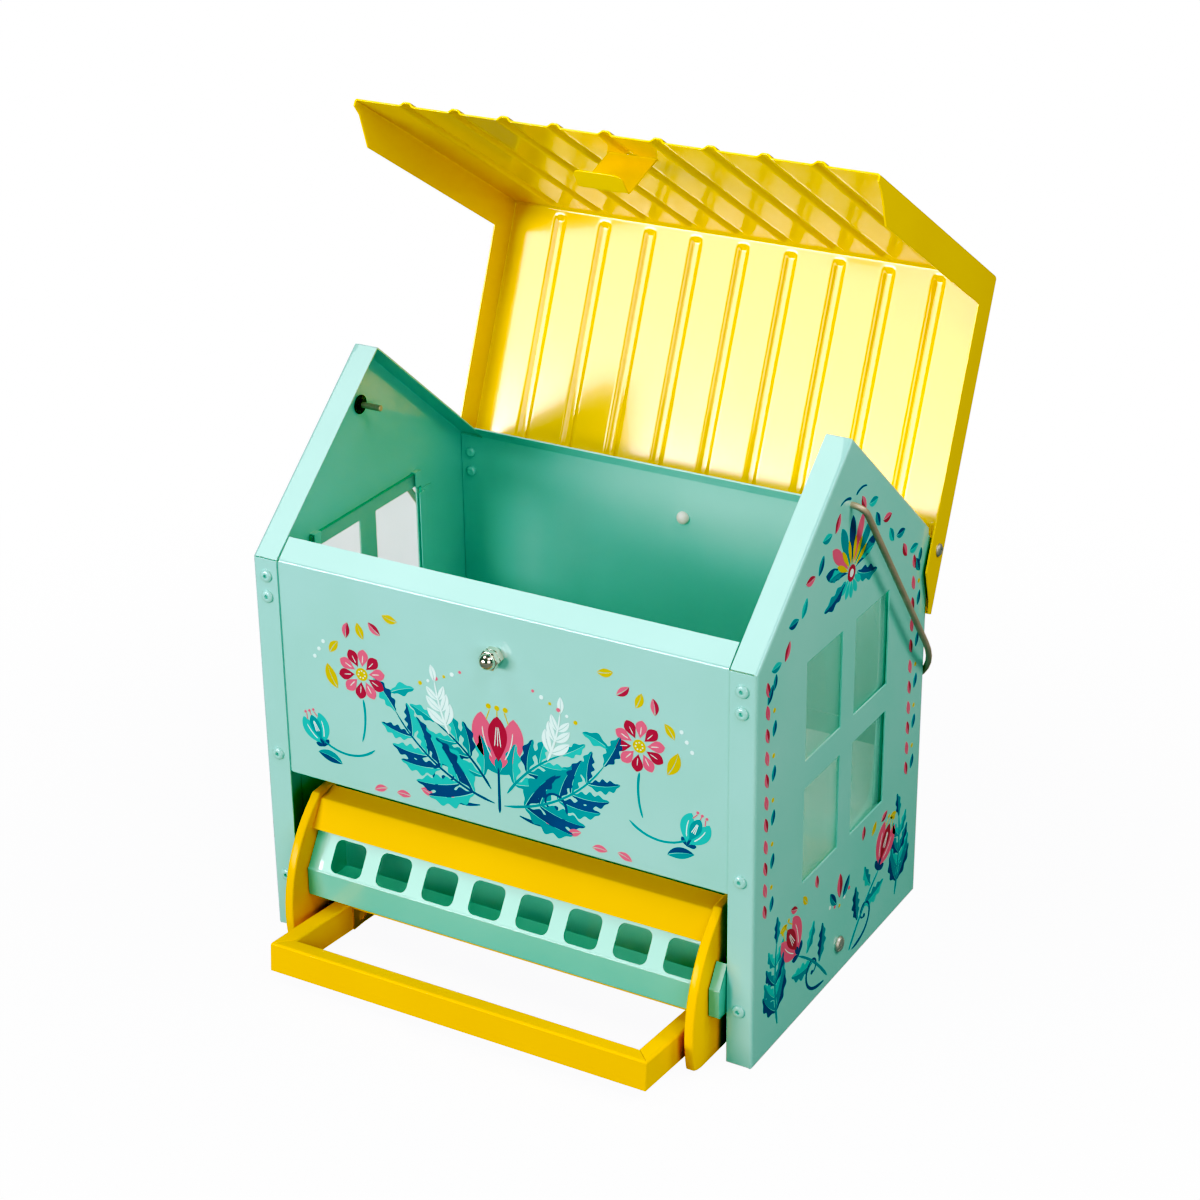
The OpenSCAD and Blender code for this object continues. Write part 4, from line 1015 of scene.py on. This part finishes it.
def front_print():
    """A bouquet below the nut: a cup flower in the middle, arching sprigs to both sides with round flowers,
    and loose leaves. The right half mirrors the left half but for its inks."""
    work = Print()
    work.tulip(("pink", "crimson", "mustard", "teal"), (0, 138), UP, 34)
    work.stroke("navy", (0, 111), UP, 27, 0, 0.9, 0.6)
    for s, inks in ((-1, SEA), (1, BLUE)):
        flip = flipped(s)
        work.sprig(inks[0], [inks, inks[::-1]][::s], (s * 3, 116), flip(0.15), 74, s * 0.85, 5, 9.5, 4)
        work.sprig(inks[0], [CLEAR, DEEP], (s * 5, 124), flip(1.0), 46, -s * 0.5, 3, 7.5, 3)
        work.daisy(PINK, (s * 84, 172), 15, 10, "mustard", 0.2)
        work.stroke("teal", (s * 84, 157), flip(-1.75), 26, s * 0.5, 0.7, 0.5)
        work.leaf(GOLD, (s * 100, 160), flip(0.9), 15, 3.4, s * 0.5)
        work.leaf(POOL, (s * 66, 166), flip(2.6), 16, 3.6, s * 0.4, 2)
        work.curl("navy", (s * 10, 113), flip(-0.25), 92, 1.15, s, 1.1)
        work.tulip(("turquoise", "teal", "pink", "navy"), (s * 112, 124), flip(1.15), 19)
        work.stroke("teal", (s * 78, 128), flip(-0.75), 40, s * 1.5, 0.7, 0.5)
        work.leaf(DEEP, (s * 100, 114), flip(0.5), 16, 3.3, -s * 0.5)
        for k in range(5):
            spot = (s * (60 + 11 * k), 205 - 5.5 * k + 3 * math.cos(2.2 * k))
            work.leaf(PINK if k % 2 else GOLD, spot, flip(0.5 * k), 9.5, 2.4, s * 0.4)
        for k in range(4):
            spot = (s * (26 + 15 * k), 107.5 + 2.2 * math.sin(2 * k))
            work.leaf(ROSE, spot, flip(0.9 - 0.35 * k), 9, 2.2, -s * 0.4)
        for k in range(6):
            ink = ("pink", "off_white", "mustard")[k % 3]
            work.dot(ink, (s * (22 + 5 * k), 188 - 2.4 * k), 0.9 + 0.3 * (k % 2))
        work.sprig("off_white", [("off_white",)], (s * 30, 150), flip(1.15), 30, s * 0.3, 3, 4.2)
        for k in range(3):
            work.dot("off_white", (s * (108 + 3 * k), 186 - 5 * k), 1.1)
    return work


def side_print():
    """On the side panel: a fan of petals below the bail's hole, leaves along both roof lines and up both
    edges, and two cup flowers with sprigs and scrolls beside the axle screw."""
    work = Print()
    top = (2.6, 240)
    work.fan(("navy", "teal", "pink"), top, UP, 27, 3.6, 7, 2.5, 1, 1.7, 5)
    work.fan(("mustard",), top, UP, 15, 1.7, 6, 2.1, 2, 1.4, 5)
    work.fan(("turquoise",), top, -UP, 10, 2.0, 5, 1.9, 1, 1.5, 4)
    work.dot("crimson", top, 4.6)
    work.dot("off_white", top, 2.2, 2)
    for s in (-1, 1):
        flip = flipped(s)
        work.leaf(DEEP, (2.6 + s * 7, 238), flip(-0.55), 26, 4.2, s * 0.5, 3)
        work.leaf(CLEAR, (2.6 + s * 9, 244), flip(0.35), 18, 3.4, -s * 0.5, 3)
        work.stroke("navy", (2.6 + s * 3, 282), flip(0.5), 13, s * -0.9, 0.8, 0.4)
        for k in range(9):
            along = 26 + 12.2 * k
            spot = (s * (along * CR * 0.98 - 6.5), APEX - 19 - along * SR)
            lean = 0.55 if k % 2 else -0.5
            work.leaf((PINK, CLEAR, DEEP)[k % 3], spot, flip(lean - ROOF), 10.5, 2.5, s * 0.3)
        edge = s * 87
        for k in range(11):
            z = 84 + 12.6 * k
            work.leaf(ROSE if k % 2 else PINK, (edge - 2.2, z), UP + 0.42, 9.5, 2.2, -0.3)
            if k % 2:
                work.dot("mustard", (edge + 3.4, z + 3), 1.3)
            else:
                work.leaf(BLUE, (edge + 2.6, z + 1.5), UP - 0.42, 8.5, 2.0, 0.3)
        work.stroke("teal", (s * 14, 8), flip(0.9), 48, -s * 0.35, 0.8, 0.55, 2, 20)
        work.tulip(("pink", "crimson", "mustard", "navy"), (s * 51, 43), flip(1.0), 27)
        work.leaf(DEEP, (s * 24, 22), flip(1.9), 23, 4.4, -s * 0.4, 4)
        work.leaf(CLEAR, (s * 32, 27), flip(-0.1), 26, 4.6, s * 0.5, 4)
        work.leaf(POOL, (s * 40, 36), flip(2.3), 18, 3.6, -s * 0.5, 3)
        work.curl("navy", (s * 16, 6.5), flip(0.05), 78, 1.05, s, 1.0)
        work.sprig("teal", [DEEP, CLEAR], (s * 74, 12), flip(1.35), 50, s * 0.35, 4, 7, 3)
        for k in range(4):
            spot = (s * (28 + 12 * k), 70 - 3 * (k % 2))
            work.leaf(GOLD if k % 2 else PINK, spot, flip(1.2 - 0.5 * k), 8.5, 2.1, s * 0.4)
    for k in range(5):
        work.dot(("off_white", "pink", "mustard")[k % 3], (-12 + 6 * k, 44 + 2.5 * abs(k - 2)), 1.1)
    work.leaf(PINK, (0, 49), UP, 15, 3.2, 0.0)
    work.leaf(BLUE, (-4, 47), UP + 0.8, 13, 2.6, -0.3)
    work.leaf(DEEP, (4, 47), UP - 0.8, 13, 2.6, 0.3)
    return work


front_print().lay("print_front", lambda u, v, h: np.column_stack([u, -IN_Y - h, v]))
on_sides = side_print()
on_sides.lay("print_right", lambda u, v, h: np.column_stack([HALF_W + h, u, v]))
on_sides.lay("print_left", lambda u, v, h: np.column_stack([-HALF_W - h, u, v]), -1)


# Nodes that keep their shape

KEPT = {
    MINT: ["hopper_floor", "throat_baffle", "bottom_brace", "rivets_brace", "pane_channels_left",
           "pane_channels_right", "pane_clips_left", "pane_clips_right", "hinge_bracket_left",
           "hinge_bracket_right"],
    GATE_YELLOW: ["cross_bar"],
    ZINC: ["latch_stud", "axle_rod", "axle_screw_left", "axle_screw_right", "hinge_rivet_left",
           "hinge_rivet_right", "arm_rivet_left", "arm_rivet_right", "counterweight", "weight_screw_left",
           "weight_screw_right"],
    BLACK: ["push_nut_left", "push_nut_right"],
    WHITE: ["hinge_washer_left", "hinge_washer_right"],
}
for finish, names in KEPT.items():
    for name in names:
        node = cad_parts[name]
        for entry in node.material_slots:
            entry.link = "OBJECT"
            entry.material = finish
        node.modifiers.new("joined", "WELD").merge_threshold = 1e-6
        round_edges(node, 0.15)


# Camera, light and floor

def camera():
    """The photograph's view: its direction, roll and distance were fitted to the feeder's straight edges."""
    data = bpy.data.cameras.new("camera")
    obj = bpy.data.objects.new("camera", data)
    bpy.context.scene.collection.objects.link(obj)
    azimuth, height, roll = math.radians(30.2), math.radians(25.24), math.radians(-0.72)
    level = math.cos(height)
    back = Vector((math.sin(azimuth) * level, -math.cos(azimuth) * level, math.sin(height)))
    right = Vector((math.cos(azimuth), math.sin(azimuth), 0))
    up = back.cross(right)
    axes = Matrix((right * math.cos(roll) + up * math.sin(roll), up * math.cos(roll) - right * math.sin(roll),
                   back)).transposed()
    obj.matrix_world = Matrix.Translation(Vector((0.6743, -1.1542, 0.8163))) @ axes.to_4x4()
    data.sensor_width = 36
    data.lens = 2727.24 / 1200 * 36
    data.shift_x = 0.0007
    data.shift_y = 0.0087
    data.clip_end = 20
    bpy.context.scene.camera = obj


ON_LID = ("lid_sheet", "latch_hook_plate", "latch_hook_ears")
ON_ARMS = ("perch_arm_left_sheet", "perch_arm_right_sheet")
# name, place, aim, width and height, power, and the only pieces that it lights, if not all
LAMPS = (
    ("key", (-1.30, -2.35, 0.74), (0, 0, 0.2), (1.5, 0.62), 55, ()),
    ("top", (-1.1, -0.75, 2.2), (0, 0, 0.2), (1.0, 1.0), 11.5, ()),
    ("rim", (1.0, 0.25, 1.1), (0.15, 0, 0.25), (0.4, 0.4), 6.5, ()),
    ("fill", (1.2, -0.9, 2.1), (0, 0, 0.2), (0.9, 0.9), 12, ()),
    ("side", (1.7, -1.7, 0.8), (0, 0, 0.15), (1.2, 1.0), 14, ()),
    ("lid_sheen", (-1.25, -2.45, 1.25), (0, 0.1, 0.35), (1.7, 0.9), 27, ON_LID),
    ("lid_front", (0.5, -1.6, 1.9), (0, 0.1, 0.35), (0.8, 0.8), 13, ON_LID),
    ("tray_sheen", (-1.25, -2.45, 1.25), (0, 0, 0.1), (1.5, 0.7), 5, ("seed_tray_sheet",)),
    ("inside", (-0.9, -2.3, 1.45), (0, 0.1, 0.15), (1.3, 0.8), 13, ("rear_panel_sheet",)),
    ("gate_side", (1.7, -1.2, 1.0), (0.1, -0.15, 0.05), (0.8, 0.8), 12, ("cheek_right_shell", *ON_ARMS)),
    ("above", (0.05, -0.15, 1.3), (0, -0.13, 0.05), (0.5, 0.5), 3.6,
     ("seed_tray_sheet", "seed_tray_walls", "perch_rail_sheet", *ON_ARMS)),
)
# tone curves of all colours together (3), red (0) and blue (2), as points of light and what is shown
CURVES = (
    (3, ((0.04, 0.008), (0.12, 0.085), (0.3, 0.34), (0.62, 0.64))),
    (0, ((0.04, 0.008), (0.08, 0.045), (0.135, 0.1), (0.2, 0.19), (0.3, 0.3))),
    (2, ((0.03, 0.004), (0.07, 0.055), (0.13, 0.118), (0.35, 0.31), (0.5, 0.472), (0.66, 0.685))),
)


def soft_box(name, place, aim, size, power, only):
    """A rectangular lamp at a place, turned to a point. Its light is kept to the pieces named, if any."""
    data = bpy.data.lights.new(name, "AREA")
    data.shape = "RECTANGLE"
    data.size, data.size_y = size
    data.energy = power
    obj = bpy.data.objects.new(name, data)
    obj.location = place
    obj.rotation_euler = (Vector(aim) - Vector(place)).to_track_quat("-Z", "Y").to_euler()
    bpy.context.scene.collection.objects.link(obj)
    if only:
        lit = bpy.data.collections.new("lit_by_" + name)
        for piece_name in only:
            lit.objects.link(bpy.data.objects[piece_name])
        obj.light_linking.receiver_collection = lit
    return obj


def camera_sees(tree, kind, shown, other):
    """Ends a tree with one shader for what the camera sees itself and another for all other light."""
    seen = add_node(tree, "LightPath")["Is Camera Ray"]
    both = add_node(tree, "MixShader", {"Fac": seen, 1: other, 2: shown})["Shader"]
    fill(tree.nodes[kind + " Output"], {"Surface": both})


def floor_finish():
    """Pale matt floor. The camera sees it lifted towards white, the more the further it is from the object,
    and the object sees a greyer one, as it would on a small table in a dark studio."""
    mat, tree, shader = new_material("pale_floor")
    fill(shader, {"Base Color": (0.8, 0.8, 0.8, 1), "Roughness": 0.9})
    grey = add_node(tree, "BsdfDiffuse", {"Color": (0.25, 0.25, 0.25, 1)})["BSDF"]
    white = add_node(tree, "Emission")["Emission"]
    reach = add_node(tree, "VectorMath", {0: place_in(tree)}, operation="LENGTH")["Value"]
    far = add_node(tree, "MapRange", {"Value": reach, "From Min": 0.15, "From Max": 0.75, "To Min": 0.95,
                                      "To Max": 1.0}, interpolation_type="SMOOTHSTEP")["Result"]
    lifted = add_node(tree, "MixShader", {"Fac": far, 1: shader.outputs["BSDF"], 2: white})["Shader"]
    camera_sees(tree, "Material", lifted, grey)
    return mat


def studio():
    """A pale floor, an even surround that the camera sees as white, and soft lamps. Nothing but the floor
    shades the lamp above, so that it also reaches the insides of the ports."""
    world = bpy.data.worlds.new("studio")
    bpy.context.scene.world = world
    world.use_nodes = True
    surround = world.node_tree.nodes["Background"]
    fill(surround, {"Color": (1, 1, 1, 1), "Strength": 0.12})
    white = add_node(world.node_tree, "Background", {"Color": (1, 1, 1, 1)})["Background"]
    camera_sees(world.node_tree, "World", white, surround.outputs["Background"])
    mesh = bpy.data.meshes.new("floor")
    r = 6.0
    mesh.from_pydata([(-r, -r, 0), (r, -r, 0), (r, r, 0), (-r, r, 0)], [], [(0, 1, 2, 3)])
    floor = bpy.data.objects.new("floor", mesh)
    bpy.context.scene.collection.objects.link(floor)
    mesh.materials.append(floor_finish())
    lamps = {lamp[0]: soft_box(*lamp) for lamp in LAMPS}
    shades = bpy.data.collections.new("shades_above")
    shades.objects.link(floor)
    lamps["above"].light_linking.blocker_collection = shades
    view = bpy.context.scene.view_settings
    view.view_transform = "Standard"
    view.use_curve_mapping = True
    for curve, stops in CURVES:
        for light, shown in stops:
            view.curve_mapping.curves[curve].points.new(light, shown)
    view.curve_mapping.update()


camera()
studio()
